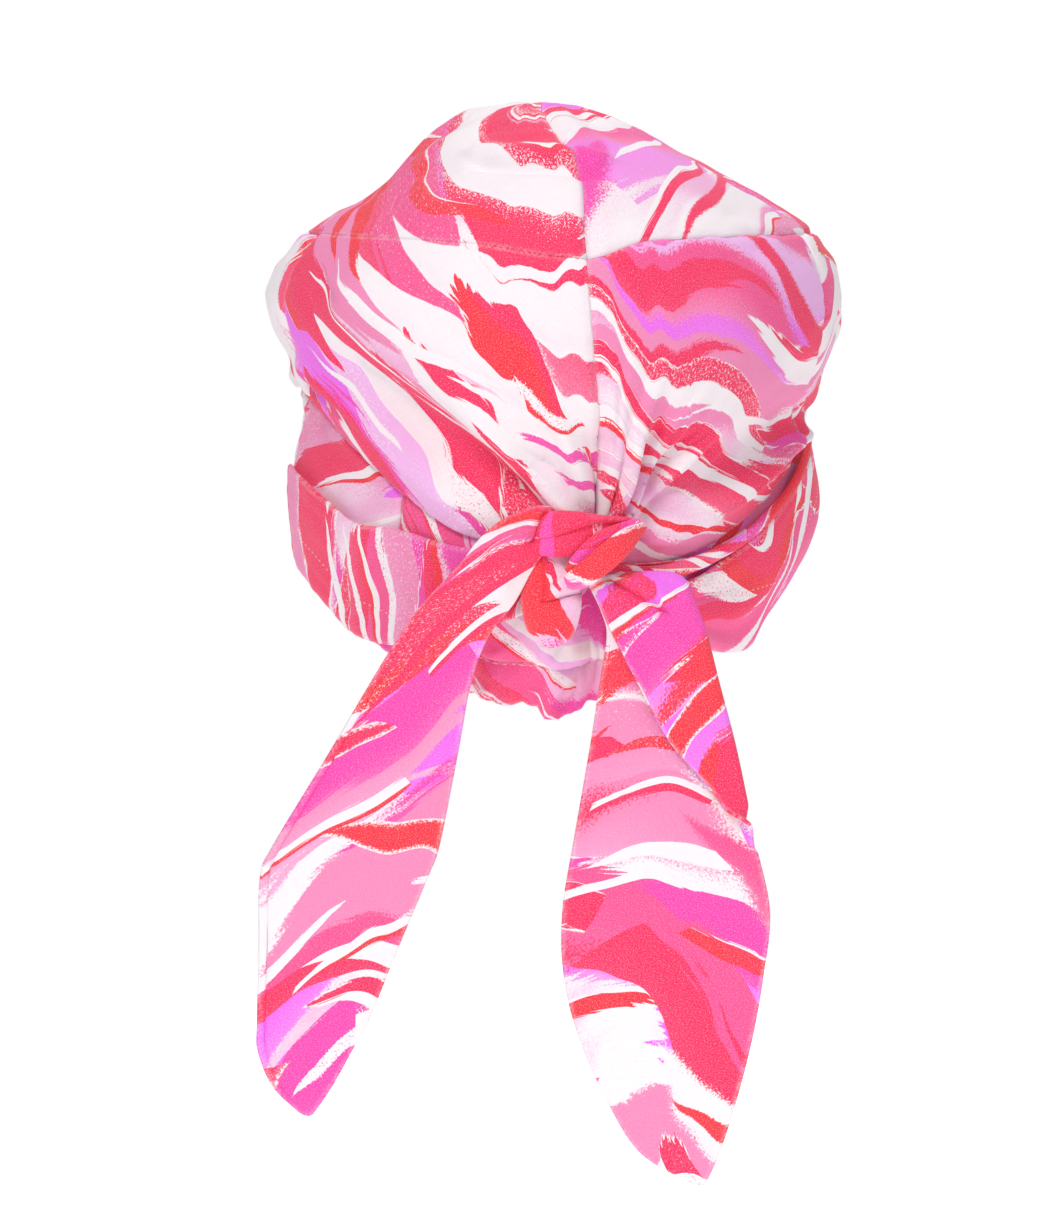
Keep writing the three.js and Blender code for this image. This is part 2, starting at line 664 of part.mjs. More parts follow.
/** The pocket of cloth under the knot. */
function napePuff(name, colour) {
  const middle = (u, v) => {
    const row = readPath(PUFF, 1 - v);
    const side = 2 * u - 1;
    const back = PUFF_BULGE * side * side;
    return new THREE.Vector3(row.x + side * row.halfWidth, row.y + back, row.z);
  };
  return clothSheet(name, { columns: 7, rows: 7, wall: TIE_CLOTH, colour, at: lifted(middle) });
}

/** A tail's row at a share of its length, and the direction across the tail there. */
function tailRow(rows, share) {
  const row = readPath(rows, share);
  const tilt = THREE.MathUtils.degToRad(row.tiltDeg);
  return { row, across: new THREE.Vector3(Math.cos(tilt), 0, Math.sin(tilt)) };
}

/** A tail that hangs flat, its edges curling back towards the head. */
function plainTail(name, colour, rows) {
  const middle = (u, v) => {
    const { row, across } = tailRow(rows, 1 - v);
    const side = 2 * u - 1;
    return new THREE.Vector3(row.x, row.y + row.curl * side * side, row.z).addScaledVector(
      across,
      side * row.halfWidth,
    );
  };
  return clothSheet(name, { columns: 6, rows: 22, wall: TIE_CLOTH, colour, at: lifted(middle) });
}

/**
 * A tail whose right edge is folded to the front. Its section runs along the back layer, round
 * the turned edge and back along the flap, which narrows to nothing further down.
 */
function foldedTail(name, colour, rows) {
  const { flat, turned } = TAIL_SECTION;
  const middle = (u, v) => {
    const { row, across } = tailRow(rows, 1 - v);
    const open = THREE.MathUtils.smoothstep(row.flap, FLAP_OPENS.from, FLAP_OPENS.to);
    const bend = Math.PI * open;
    const turnAt = row.halfWidth - TURN_RADIUS * open;
    const along = { x: lerp(-row.halfWidth, turnAt, Math.min(u / flat, 1)), y: 0 };
    if (u > flat) {
      const share = Math.min((u - flat) / (turned - flat), 1);
      along.x += TURN_RADIUS * (open > 0 ? Math.sin(bend * share) : share);
      along.y -= TURN_RADIUS * (1 - Math.cos(bend * share));
    }
    if (u > turned) {
      const length = ((u - turned) / (1 - turned)) * row.flap;
      along.x += Math.cos(bend) * length;
      along.y -= Math.sin(bend) * length;
    }
    const side = THREE.MathUtils.clamp(along.x / row.halfWidth, -1, 1);
    const y = row.y + row.curl * side * side + along.y;
    return new THREE.Vector3(row.x, y, row.z).addScaledVector(across, along.x);
  };
  return clothSheet(name, { columns: 20, rows: 22, wall: CLOTH, colour, at: lifted(middle) });
}

function tiesAndTails() {
  return [
    tie("tie_left", COLOUR.crimson, TIE_LEFT),
    tie("tie_right", COLOUR.crimson, TIE_RIGHT),
    tieRoll("tie_roll_right", COLOUR.blush),
    knotCore("knot_core", COLOUR.magenta),
    knotTurn("knot_turn", COLOUR.magenta),
    napePuff("nape_puff", COLOUR.rose),
    plainTail("tail_left", COLOUR.orchid, TAIL_LEFT),
    foldedTail("tail_right", COLOUR.crimson, TAIL_RIGHT),
  ];
}

// ---- The turban ------------------------------------------------------------------------------

const turban = new THREE.Group();
turban.name = "turban";
turban.add(...crownPanels(), ...bandPanels(), ...tiesAndTails());

export default turban;
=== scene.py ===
"""Printed cotton turban, worn: crown, band, ties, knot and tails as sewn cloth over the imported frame.

Places on the worn surface are an azimuth in degrees, 0 straight back and positive to the wearer's
right, and a height t from 0 at the hem to 1 at the top of the crown. Tables are in millimetres.
"""
import logging
import math
from dataclasses import dataclass, field
from enum import Enum
from typing import Callable, NamedTuple, Sequence, TypeVar

import bpy
import numpy as np
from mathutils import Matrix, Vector


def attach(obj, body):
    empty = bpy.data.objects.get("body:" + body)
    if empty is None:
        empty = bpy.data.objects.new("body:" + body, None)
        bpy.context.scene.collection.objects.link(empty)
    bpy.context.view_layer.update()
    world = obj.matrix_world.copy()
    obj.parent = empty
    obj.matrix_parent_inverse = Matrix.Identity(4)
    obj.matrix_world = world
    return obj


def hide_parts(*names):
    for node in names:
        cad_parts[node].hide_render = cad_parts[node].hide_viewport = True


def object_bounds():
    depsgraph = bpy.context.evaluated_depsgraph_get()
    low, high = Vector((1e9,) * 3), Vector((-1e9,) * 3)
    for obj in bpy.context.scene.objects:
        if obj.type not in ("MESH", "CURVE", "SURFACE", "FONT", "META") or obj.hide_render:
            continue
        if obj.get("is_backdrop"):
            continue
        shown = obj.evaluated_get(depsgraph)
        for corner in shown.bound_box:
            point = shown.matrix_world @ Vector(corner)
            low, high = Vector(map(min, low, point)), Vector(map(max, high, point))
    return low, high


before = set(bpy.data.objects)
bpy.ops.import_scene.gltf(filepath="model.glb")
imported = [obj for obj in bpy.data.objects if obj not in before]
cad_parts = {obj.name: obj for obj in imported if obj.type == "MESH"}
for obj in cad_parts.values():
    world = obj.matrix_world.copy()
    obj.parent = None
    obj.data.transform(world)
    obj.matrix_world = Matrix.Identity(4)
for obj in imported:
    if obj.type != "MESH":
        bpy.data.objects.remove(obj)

log = logging.getLogger("turban")
CAD_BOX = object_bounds()

Array = np.ndarray
Line = Callable[[Array], Array]  # heights t of a line at azimuths, or its azimuths at heights t
Row = TypeVar("Row")

MERGE_DISTANCE = 2e-6  # in metres: points of one sheet that are nearer than this are one
DESIGN_HEIGHT = 332.6  # of the whole turban, tips of the tails to crown, in the tables' millimetres
CLOTH_HEIGHT = 255.0  # length of cloth from hem to top along the back
LEAST_REACH = 5.0  # least radius used to measure distances round the top of the crown
TOP_FADE = (0.9, 1.0)  # heights t between which folds and waves die out at the top
UPWARD = (0.93, 0.99)  # heights t between which outward becomes straight up
STEP_DEG, STEP_T, LAST_NORMAL_T = 1, 0.004, 0.985  # for slopes of the smooth surface
CROWN_WALL = 1.2
TIE_WALL = 1.6
KNOT_WALL = 0.8
FOLD_WALL = 0.5
RIM_SHARE = 0.4  # of the wall, by which a free edge, rounded, stands out
SEWN_RIM = 0.1  # how far an edge that is sewn to the next panel stands out
LAYER_GAP = 1.0  # between the panels and a tie over them
SEAM_GAP = 0.3  # between two panels that are sewn to each other
SIDE_SEAM = 70.0  # azimuth of the crown's side seams
TIE_SEAM = 86.0  # azimuth of the seams that hold the ties' roots
NAPE_HALF = 38.0  # azimuth where the nape's gathers end
CASING_TOP = 0.068  # height t of the stitches over the elastic
OVERHANG_GAP_T = 0.003  # how far the crown's lower edge ends above its line
UNDERLAP = 4.5  # how far the band runs up under the crown
UNDERLAP_DROP = 1.9  # and how far inwards it lies there
UNDERLAP_BEND = (-4.0, 0.5)  # distances above the crown's edge over which it dips
SLACK_START = 12.0  # distance from a seam over which the waves of slack cloth begin
SIDE_GAP_DEG = 0.1  # half of the gap between two panels side by side
EDGE_DROP_WIDTH = 1.7  # distance over which the cloth dips to a seam or hem
PUCKER_HEIGHT, PUCKER_LENGTH, PUCKER_REACH = 0.32, 3.4, 5.5  # of the puckers beside a seam

GATHER_END_DEG, GATHER_END_T = 8, (0.12, 0.17)  # where the nape's gathers die out
GATHER_PITCH_DEG = 12.6  # of the nape's main gathers
GATHER_HEIGHT = 1.4
MAIN_GATHER, SMALL_GATHER, FINE_GATHER = 0.8 * GATHER_HEIGHT, 1.1, 0.35  # heights of their three sizes
PINCH_DEPTH, PINCH_WIDTH_T = 0.7, 0.012  # of the stitches over the elastic
TUBE_PITCH_DEG, TUBE_HEIGHT = 5.1, 1.7  # of the small tubes between hem and elastic
KNOT_MM_PER_DEG = 1.75  # cloth to a degree of azimuth near the knot
SLACK_MM_PER_DEG = 1.6  # and elsewhere, as the waves of slack cloth are spaced
RAY_START_SHARE = 0.4  # of a gather's start, where it begins to rise
RAY_RISE, RAY_FADE = (0.0, 0.15), (0.35, 1.0)  # shares of its length where it rises and dies out
CRINKLE_RISE, CRINKLE_FADE = (12, 24), (30, 78)  # distances from the knot, likewise


def table(kind: type[Row], *rows: tuple) -> tuple[Row, ...]:
    """A table whose rows are of one kind, written as plain numbers."""
    return tuple(kind(*row) for row in rows)


# ---- Tables ------------------------------------------------------------------------------------


class Ring(NamedTuple):
    """One ring round the head: heights at back, side and front, and reach to each side."""

    t: float
    back_z: float
    side_z: float
    front_z: float
    left: float
    right: float
    back: float
    front: float


RINGS = table(
    Ring,
    (-0.05, -61, -14, -1, 79.5, 75.5, 77, 94),
    (0, -50, -3, 10, 80.5, 78.5, 83, 96),
    (0.065, -36, 12, 24, 82, 83, 91, 98),
    (0.13, -20, 27, 37, 81.5, 81, 97, 98),
    (0.2, 1, 41, 50, 78.5, 78.5, 100, 97),
    (0.28, 24, 54, 62, 79.5, 85.5, 106, 97),
    (0.44, 66, 77, 84, 89.5, 90.5, 110, 92),
    (0.58, 98, 96, 106, 80, 84, 98, 78),
    (0.7, 119, 110, 121, 56, 66, 76, 60),
    (0.84, 133, 126, 133, 35, 33, 42, 36),
    (0.93, 138, 136.5, 138, 20, 13, 20, 17),
    (1, 139.3, 139.3, 139.3, 3, -3, 0, 0),
)


class EdgeRow(NamedTuple):
    """A point of a line on the worn surface: where it is read, and its value there."""

    at: float
    value: float


BACK_SEAM = table(EdgeRow, (0, 8), (0.38, 8), (0.58, 5.5), (0.7, 3), (0.82, 0), (1, 0))
CROSS_SEAM = table(
    EdgeRow,
    (-180, 0.6), (-90, 0.6), (-20, 0.575), (6, 0.553), (20, 0.58), (90, 0.6), (180, 0.6),
)
CROWN_EDGE = table(
    EdgeRow,
    (-180, 0.2), (-110, 0.235), (-85, 0.25), (-56, 0.232), (-29, 0.208), (-8, 0.2), (12, 0.185),
    (28, 0.16), (50, 0.146), (66, 0.15), (85, 0.18), (110, 0.2), (180, 0.2),
)
HEM = table(
    EdgeRow,
    (-180, 0), (-40, 0), (-16, 0.014), (-4, 0.014), (2, 0), (12, 0.026), (34, 0.045), (42, 0.02),
    (54, 0), (180, 0),
)


class Fold(NamedTuple):
    """A ridge, or a crease where the height is negative, along a straight line on the cloth."""

    azimuth0: float
    t0: float
    azimuth1: float
    t1: float
    width: float
    height: float
    sharp: float = 1.0  # how many times steeper its right-hand flank is, seen from its start


MAIN_FOLDS = table(
    Fold,
    (-28, 0.722, 8, 0.69, 5.5, -3.4, 2.2),
    (-30, 0.752, 9, 0.726, 6, 2.6, 1.6),
    (-70, 0.78, -95, 0.88, 15, 4),
    (-44, 0.47, -10, 0.33, 12, 5, 1.5),
    (-46, 0.37, -12, 0.265, 8, -4.6),
    (-66, 0.33, -24, 0.245, 7, 3.8, 1.5),
    (8, 0.32, 8, 0.24, 6, -4),
    (21, 0.3, 20, 0.215, 7, -5),
    (14, 0.3, 13, 0.23, 6, 3),
    (26, 0.27, 62, 0.235, 11, -4.4),
    (24, 0.2, 72, 0.185, 7, 5.4, 1.8),
    (-70, 0.2, -34, 0.185, 9, -2),
    (100, 0.25, 180, 0.25, 12, 4),
    (-180, 0.25, -100, 0.25, 12, 4),
    (120, 0.36, 168, 0.52, 12, 3),
    (-150, 0.34, -172, 0.5, 12, -3),
)


class Ray(NamedTuple):
    """A gather that runs out from the knot: its direction from the wearer's right, upwards."""

    angle: float
    start: float
    length: float
    width: float
    flare: float
    height: float
    sharp: float = 1.0
    drift: float = 0.0  # degrees that it turns over its length


KNOT_GATHERS = table(
    Ray,
    (9, 20, 60, 1.6, 0.03, 1.6, 2.0, 6),
    (16, 18, 56, 1.5, 0.04, -2.6, 2.0, 8),
    (24, 13, 62, 2.1, 0.05, 3.8, 2.5, 8),
    (33, 11, 50, 1.5, 0.05, -4.2, 2.0, 10),
    (44, 10, 44, 2.0, 0.06, 4.5, 3.0, 10),
    (55, 9, 50, 1.6, 0.05, -4.6, 2.0, 7),
    (67, 11, 42, 1.8, 0.05, 2.9, 2.0, 4),
    (80, 11, 46, 1.6, 0.05, -3.0, 2.0, -2),
    (94, 12, 42, 1.8, 0.05, 2.6, 2.5, -4),
    (108, 12, 40, 1.6, 0.05, -2.7, 2.0, -6),
    (121, 12, 56, 2.2, 0.06, 3.4, 2.0, -6),
    (134, 12, 74, 2.2, 0.07, -3.8, 1.5, -8),
    (147, 14, 88, 2.6, 0.07, 4.0, 1.6, -9),
    (157, 16, 80, 2.1, 0.06, -3.2, 1.5, -8),
    (166, 16, 70, 2.0, 0.05, 2.4, 1.6, -6),
)


class Wave(NamedTuple):
    """One size of wave in slack cloth: its height, its lengths and how each of them slants."""

    height: float
    across: float
    across_slant: float
    up: float
    up_slant: float
    seed: int

    def at(self, x: Array, y: Array) -> Array:
        """Height of the waves on the cloth.

        Args:
            x: Distances round the head.
            y: Distances up from the hem.

        Returns:
            The height of the waves.
        """
        column = x / self.across + y / self.across_slant
        row = y / self.up + x / self.up_slant
        return soft_noise(column, row, self.seed) * self.height


SLACK_WAVES = table(
    Wave,
    (1.5, 34, 60, 26, -90, 3),
    (0.6, 15, -40, 12, 50, 5),
    (0.12, 6.5, math.inf, 5.5, math.inf, 7),
)


class TieRow(NamedTuple):
    """A tie's lower and upper edge on the worn surface at one azimuth."""

    azimuth: float
    low: float
    high: float


TIE_LEFT = table(
    TieRow,
    (-86, -0.004, 0.118), (-60, -0.006, 0.135), (-48, -0.004, 0.143), (-36, 0.03, 0.172),
    (-20, 0.105, 0.192), (3, 0.165, 0.215),
)
TIE_RIGHT = table(
    TieRow,
    (86, 0.03, 0.145), (68, 0.012, 0.13), (56, -0.006, 0.124), (51, -0.035, 0.124),
    (40, 0.004, 0.128), (28, 0.07, 0.138), (10, 0.15, 0.178),
)


class RollRow(NamedTuple):
    """The rolled edge above the right tie at one azimuth."""

    azimuth: float
    t: float
    radius: float


ROLL = table(
    RollRow,
    (84, 0.168, 1.3), (66, 0.139, 1.7), (50, 0.136, 2), (36, 0.146, 2.4), (22, 0.164, 3),
    (11, 0.19, 1.7),
)


class StripRow(NamedTuple):
    """A row across a hanging or turned strip: its middle, half-width, tilt and curl."""

    x: float
    y: float
    z: float
    half_width: float
    tilt: float = 0.0
    curl: float = 0.0
    flap: float = 0.0


class BandRow(NamedTuple):
    """A place along a band of folded cloth: its middle, and the size of its section there."""

    x: float
    y: float
    z: float
    size: float
    slant: float


KNOT_STRAND = table(
    BandRow,
    (-3.4, -104.8, 8.6, 0.9, -20),
    (-1.3, -109.3, 8.7, 1.0, -19),
    (4.5, -111.5, 8.4, 1.0, -15),
    (11.5, -111.4, 8.6, 0.82, -12),
    (17.5, -110, 9.8, 0.55, -12),
    (23.5, -106.5, 11, 0.3, -14),
)
KNOT_TURN = table(
    BandRow,
    (4.5, -107.5, -6.2, 0.55, 30),
    (7.5, -113.6, -3.6, 0.85, 33),
    (13, -116.4, 1.2, 1.0, 38),
    (18.6, -116.0, 5.8, 0.95, 41),
    (23, -112.6, 9.0, 0.7, 44),
    (27, -107, 11.5, 0.35, 46),
)


class SectionPoint(NamedTuple):
    """A point of a folded band's section: how far up across the band, how far outwards, and how
    far up it has moved by the band's right end."""

    across: float
    out: float
    drift: float = 0.0


STRAND_SECTION = table(
    SectionPoint,
    (-5.4, -2.8), (-6.8, -1.2), (-6.2, 0.3), (-4.2, 1.3, 1), (-2.2, 1.2, 3), (-0.6, 0.5, 5),
    (0.4, 0.2, 6), (0.0, 0.8, 7), (-1.2, 1.0, 7), (-2.2, 1.4, 7), (-1.9, 2.3, 7), (-0.2, 2.9, 6),
    (3.0, 2.7, 3), (5.7, 1.4, 1), (7.0, -0.6), (6.2, -2.6),
)
TURN_SECTION = table(
    SectionPoint,
    (-4.4, -2.4), (-5.3, -0.8), (-4.4, 0.9), (-2.0, 2.0), (0.6, 2.4), (2.2, 1.9), (1.2, 1.1),
    (-0.6, 0.9), (-1.6, 0.3), (-0.6, -0.35), (1.5, -0.2), (3.4, 0.0), (5.0, -0.5), (5.7, -1.7),
    (4.9, -2.8),
)


class Crease(NamedTuple):
    """A fold of a hanging cloth along a straight line; a positive height stands out behind."""

    x0: float
    z0: float
    x1: float
    z1: float
    width: float
    height: float
    sharp: float = 1.0


PUFF = table(
    StripRow,
    (1.2, -105.4, 3, 6.6),
    (1, -107.2, -2.5, 7.4),
    (-0.5, -107.6, -10, 8.8),
    (-0.5, -107.6, -16, 8.3),
    (-0.6, -106.4, -21, 6.9),
    (-0.6, -104.6, -24.2, 4.9),
    (-0.6, -102.6, -26, 2.4),
    (-0.6, -101.4, -26.4, 0.6),
)
PUFF_CREASES = table(
    Crease,
    (8.5, 0, -2.0, -11.5, 1.9, 2.0, 2.0),
    (-2.2, -12.4, 8.5, -10.2, 1.7, -2.4, 1.8),
    (-6, -2, -5.2, -18, 2.6, 1.3),
    (-2.4, -1, -3.0, -9, 1.2, -1.2),
    (1.5, -15, 1.5, -24, 2.0, -1.1, 1.5),
)
TAIL_LEFT_CREASES = table(
    Crease,
    (-6.9, 6.4, -2.6, 13.4, 1.5, -3.2, 1.0),
    (-9.5, 7.5, -5.5, 14.5, 1.8, 0.9, 1.0),
    (-4, 2, -12, -6, 3.0, -1.0, 1.6),
    (-8, 9, -22, -8, 3.0, 1.0, 1.4),
    (-14, 13, -30, -14, 2.6, -0.8, 1.5),
    (-34, -22, -56, -70, 6.0, 0.9),
    (-28, -26, -48, -84, 5.0, -0.7),
)
TAIL_RIGHT_CREASES = table(
    Crease,
    (13, -3, 33, -15.5, 2.0, -2.6, 2.4),
    (14, -2, 34, -9.5, 2.4, 1.1, 1.3),
    (33, -15.5, 40, -22, 3.0, -0.9, 1.4),
    (14, -6, 27, -30, 2.6, 0.9, 1.2),
    (20, -40, 26, -110, 5.0, 0.8),
    (44, -92, 38, -150, 6.0, -0.8),
)
TAIL_LEFT = table(
    StripRow,
    (0.6, -106.4, 12.6, 4.2, -64, 1),
    (-3.7, -109.4, 11, 6, -57, 2),
    (-12, -111, 5, 10, -12, 3),
    (-17, -111, -1, 11.5, 2, 3.5),
    (-26, -109.5, -13, 14, 3, 4),
    (-34, -107.5, -24, 13.6, 2, 3.5),
    (-40.8, -105.5, -38, 15, 0, 3),
    (-49.3, -103.5, -60, 19.4, 0, 2.5),
    (-60.6, -102.2, -88, 25.1, 0, 2),
    (-64.4, -101.8, -98, 25.3, 0, 1.9),
    (-69.3, -101, -120, 21, 0, 1.5),
    (-74.2, -101, -143, 16.6, 0, 1),
    (-76.6, -101, -152, 14, 0, 1),
    (-77.4, -101, -163, 8.6, 0, 0.5),
    (-76, -101, -171.5, 1.4, 0, 0),
)
TAIL_RIGHT = table(
    StripRow,
    (15, -107.5, -4.8, 5.5, 12, 2, 9.5),
    (25, -109.5, -7, 13, 12, 3, 24),
    (29, -109.5, -14, 14, 7, 3, 26.2),
    (31.8, -108.5, -23, 15, 0, 2.5, 26.6),
    (32.6, -107.5, -38, 18, 0, 2.5, 22.5),
    (33.6, -106, -55, 21.5, 0, 2, 18),
    (34, -105, -71, 24.6, 0, 2, 8),
    (34.2, -104, -86, 27.4, 0, 1.5, 2),
    (34.8, -103.5, -108, 31.5, 0, 1.5, 1),
    (34, -103, -128, 30.4, 0, 1, 1),
    (34.6, -103, -147, 26.5, 0, 1, 1),
    (36.4, -103, -166, 20, 0, 0.5, 1),
    (39, -103, -183, 12, 0, 0, 1),
    (45, -103, -193, 1.6, 0, 0, 1),
)


# ---- Reading tables ----------------------------------------------------------------------------


def read_smooth(keys: Array, rows: Array, at: Array) -> Array:
    """Reads a table smoothly between its rows.

    Args:
        keys: Rising values of the rows' key.
        rows: The rows, one column for each thing that is read.
        at: Key values to read at, in any shape.

    Returns:
        The columns at each key, in one more axis than `at`.
    """
    keys = np.asarray(keys, float)
    rows = np.asarray(rows, float)
    last = len(keys) - 1
    before = np.maximum(np.arange(last + 1) - 1, 0)
    after = np.minimum(np.arange(last + 1) + 1, last)
    slopes = (rows[after] - rows[before]) / (keys[after] - keys[before])[:, None]
    i = np.clip(np.searchsorted(keys, at, side="right") - 1, 0, last - 1)
    span = (keys[i + 1] - keys[i])[..., None]
    u = np.clip((np.asarray(at, float)[..., None] - keys[i][..., None]) / span, 0, 1)
    leave = slopes[i] * span * (u**3 - 2 * u**2 + u)
    arrive = slopes[i + 1] * span * (u**3 - u**2)
    return rows[i] * (2 * u**3 - 3 * u**2 + 1) + leave + rows[i + 1] * (3 * u**2 - 2 * u**3) + arrive


def read_path(rows: Sequence[tuple], share: Array) -> Array:
    """Reads a table of rows along a path, 0 at its first row and 1 at its last."""
    return read_smooth(np.linspace(0, 1, len(rows)), np.array(rows, float), np.asarray(share, float))


def read_edge(rows: Sequence[EdgeRow], at: Array) -> Array:
    """Reads a line on the worn surface at azimuths or heights."""
    values = np.array(rows, float)
    return read_smooth(values[:, 0], values[:, 1:], np.asarray(at, float))[..., 0]


def smooth_step(value: Array, low: float, high: float) -> Array:
    """Rises smoothly from 0 at `low` to 1 at `high`."""
    share = np.clip((np.asarray(value, float) - low) / (high - low), 0, 1)
    return share * share * (3 - 2 * share)


def soft_greater(first: Array, second: Array, blend: float) -> Array:
    """The greater of two values, with a rounded change from one to the other."""
    return (first + second + np.hypot(first - second, blend)) / 2


def soft_noise(x: Array, y: Array, seed: int) -> Array:
    """Smooth noise from -1 to 1 over a plane, the same each time.

    Args:
        x: Places across, in waves.
        y: Places up, in waves.
        seed: Which noise it is.

    Returns:
        The noise at each place.
    """
    lattice = np.random.default_rng(seed).uniform(-1, 1, (64, 64))
    x0 = np.floor(x).astype(int)
    y0 = np.floor(y).astype(int)
    fx = (x - x0) ** 2 * (3 - 2 * (x - x0))
    fy = (y - y0) ** 2 * (3 - 2 * (y - y0))
    corner = lambda i, j: lattice[(x0 + i) % 64, (y0 + j) % 64]
    low = corner(0, 0) * (1 - fx) + corner(1, 0) * fx
    high = corner(0, 1) * (1 - fx) + corner(1, 1) * fx
    return low * (1 - fy) + high * fy


def ridges(noise: Array, power: float) -> Array:
    """Turns smooth noise into ridges, 1 on a ridge, with broad hollows between them."""
    return 1 - 2 * np.abs(noise) ** power


def flank(across: Array, sharp: float) -> Array:
    """A fold's section: a smooth hump, steeper on its positive side by `sharp` times."""
    return np.exp(-(np.where(across > 0, across * sharp, across) ** 2))


def straight_fold(x: Array, y: Array, start: tuple, end: tuple, fold: Fold | Crease) -> Array:
    """Height of one straight fold.

    Args:
        x: Places across the cloth.
        y: Places up the cloth.
        start: Place across and up where the fold starts.
        end: Place across and up where it ends.
        fold: The fold's width, height and sharpness.

    Returns:
        The height at each place.
    """
    dx, dy = end[0] - start[0], end[1] - start[1]
    from_x, from_y = x - start[0], y - start[1]
    share = np.clip((from_x * dx + from_y * dy) / (dx * dx + dy * dy), 0, 1)
    away = np.hypot(from_x - share * dx, from_y - share * dy)
    side = np.sign(from_x * dy - from_y * dx)
    return fold.height * flank(side * away / fold.width, fold.sharp)


def crease_height(x: Array, z: Array, creases: Sequence[Crease]) -> Array:
    """Height of a hanging cloth's folds at places x and z, outwards from the head."""
    return sum(straight_fold(x, z, (fold.x0, fold.z0), (fold.x1, fold.z1), fold) for fold in creases)


def unit_vectors(vectors: Array) -> Array:
    """The vectors at length 1."""
    return vectors / np.maximum(np.linalg.norm(vectors, axis=-1, keepdims=True), 1e-9)


def sheet_normals(points: Array) -> Array:
    """Directions out of a sheet of points."""
    return unit_vectors(np.cross(np.gradient(points, axis=1), np.gradient(points, axis=0)))


def run_lengths(points: Array, axis: int) -> Array:
    """Length run to each point along an axis, 0 at the first."""
    steps = np.linalg.norm(np.diff(points, axis=axis), axis=-1)
    return np.insert(np.cumsum(steps, axis=axis), 0, 0, axis=axis)


def unit_square(columns: int, rows: int) -> tuple[Array, Array]:
    """Shares across and up a sheet of that many squares."""
    return np.meshgrid(np.linspace(0, 1, columns + 1), np.linspace(0, 1, rows + 1))


# ---- The worn surface --------------------------------------------------------------------------


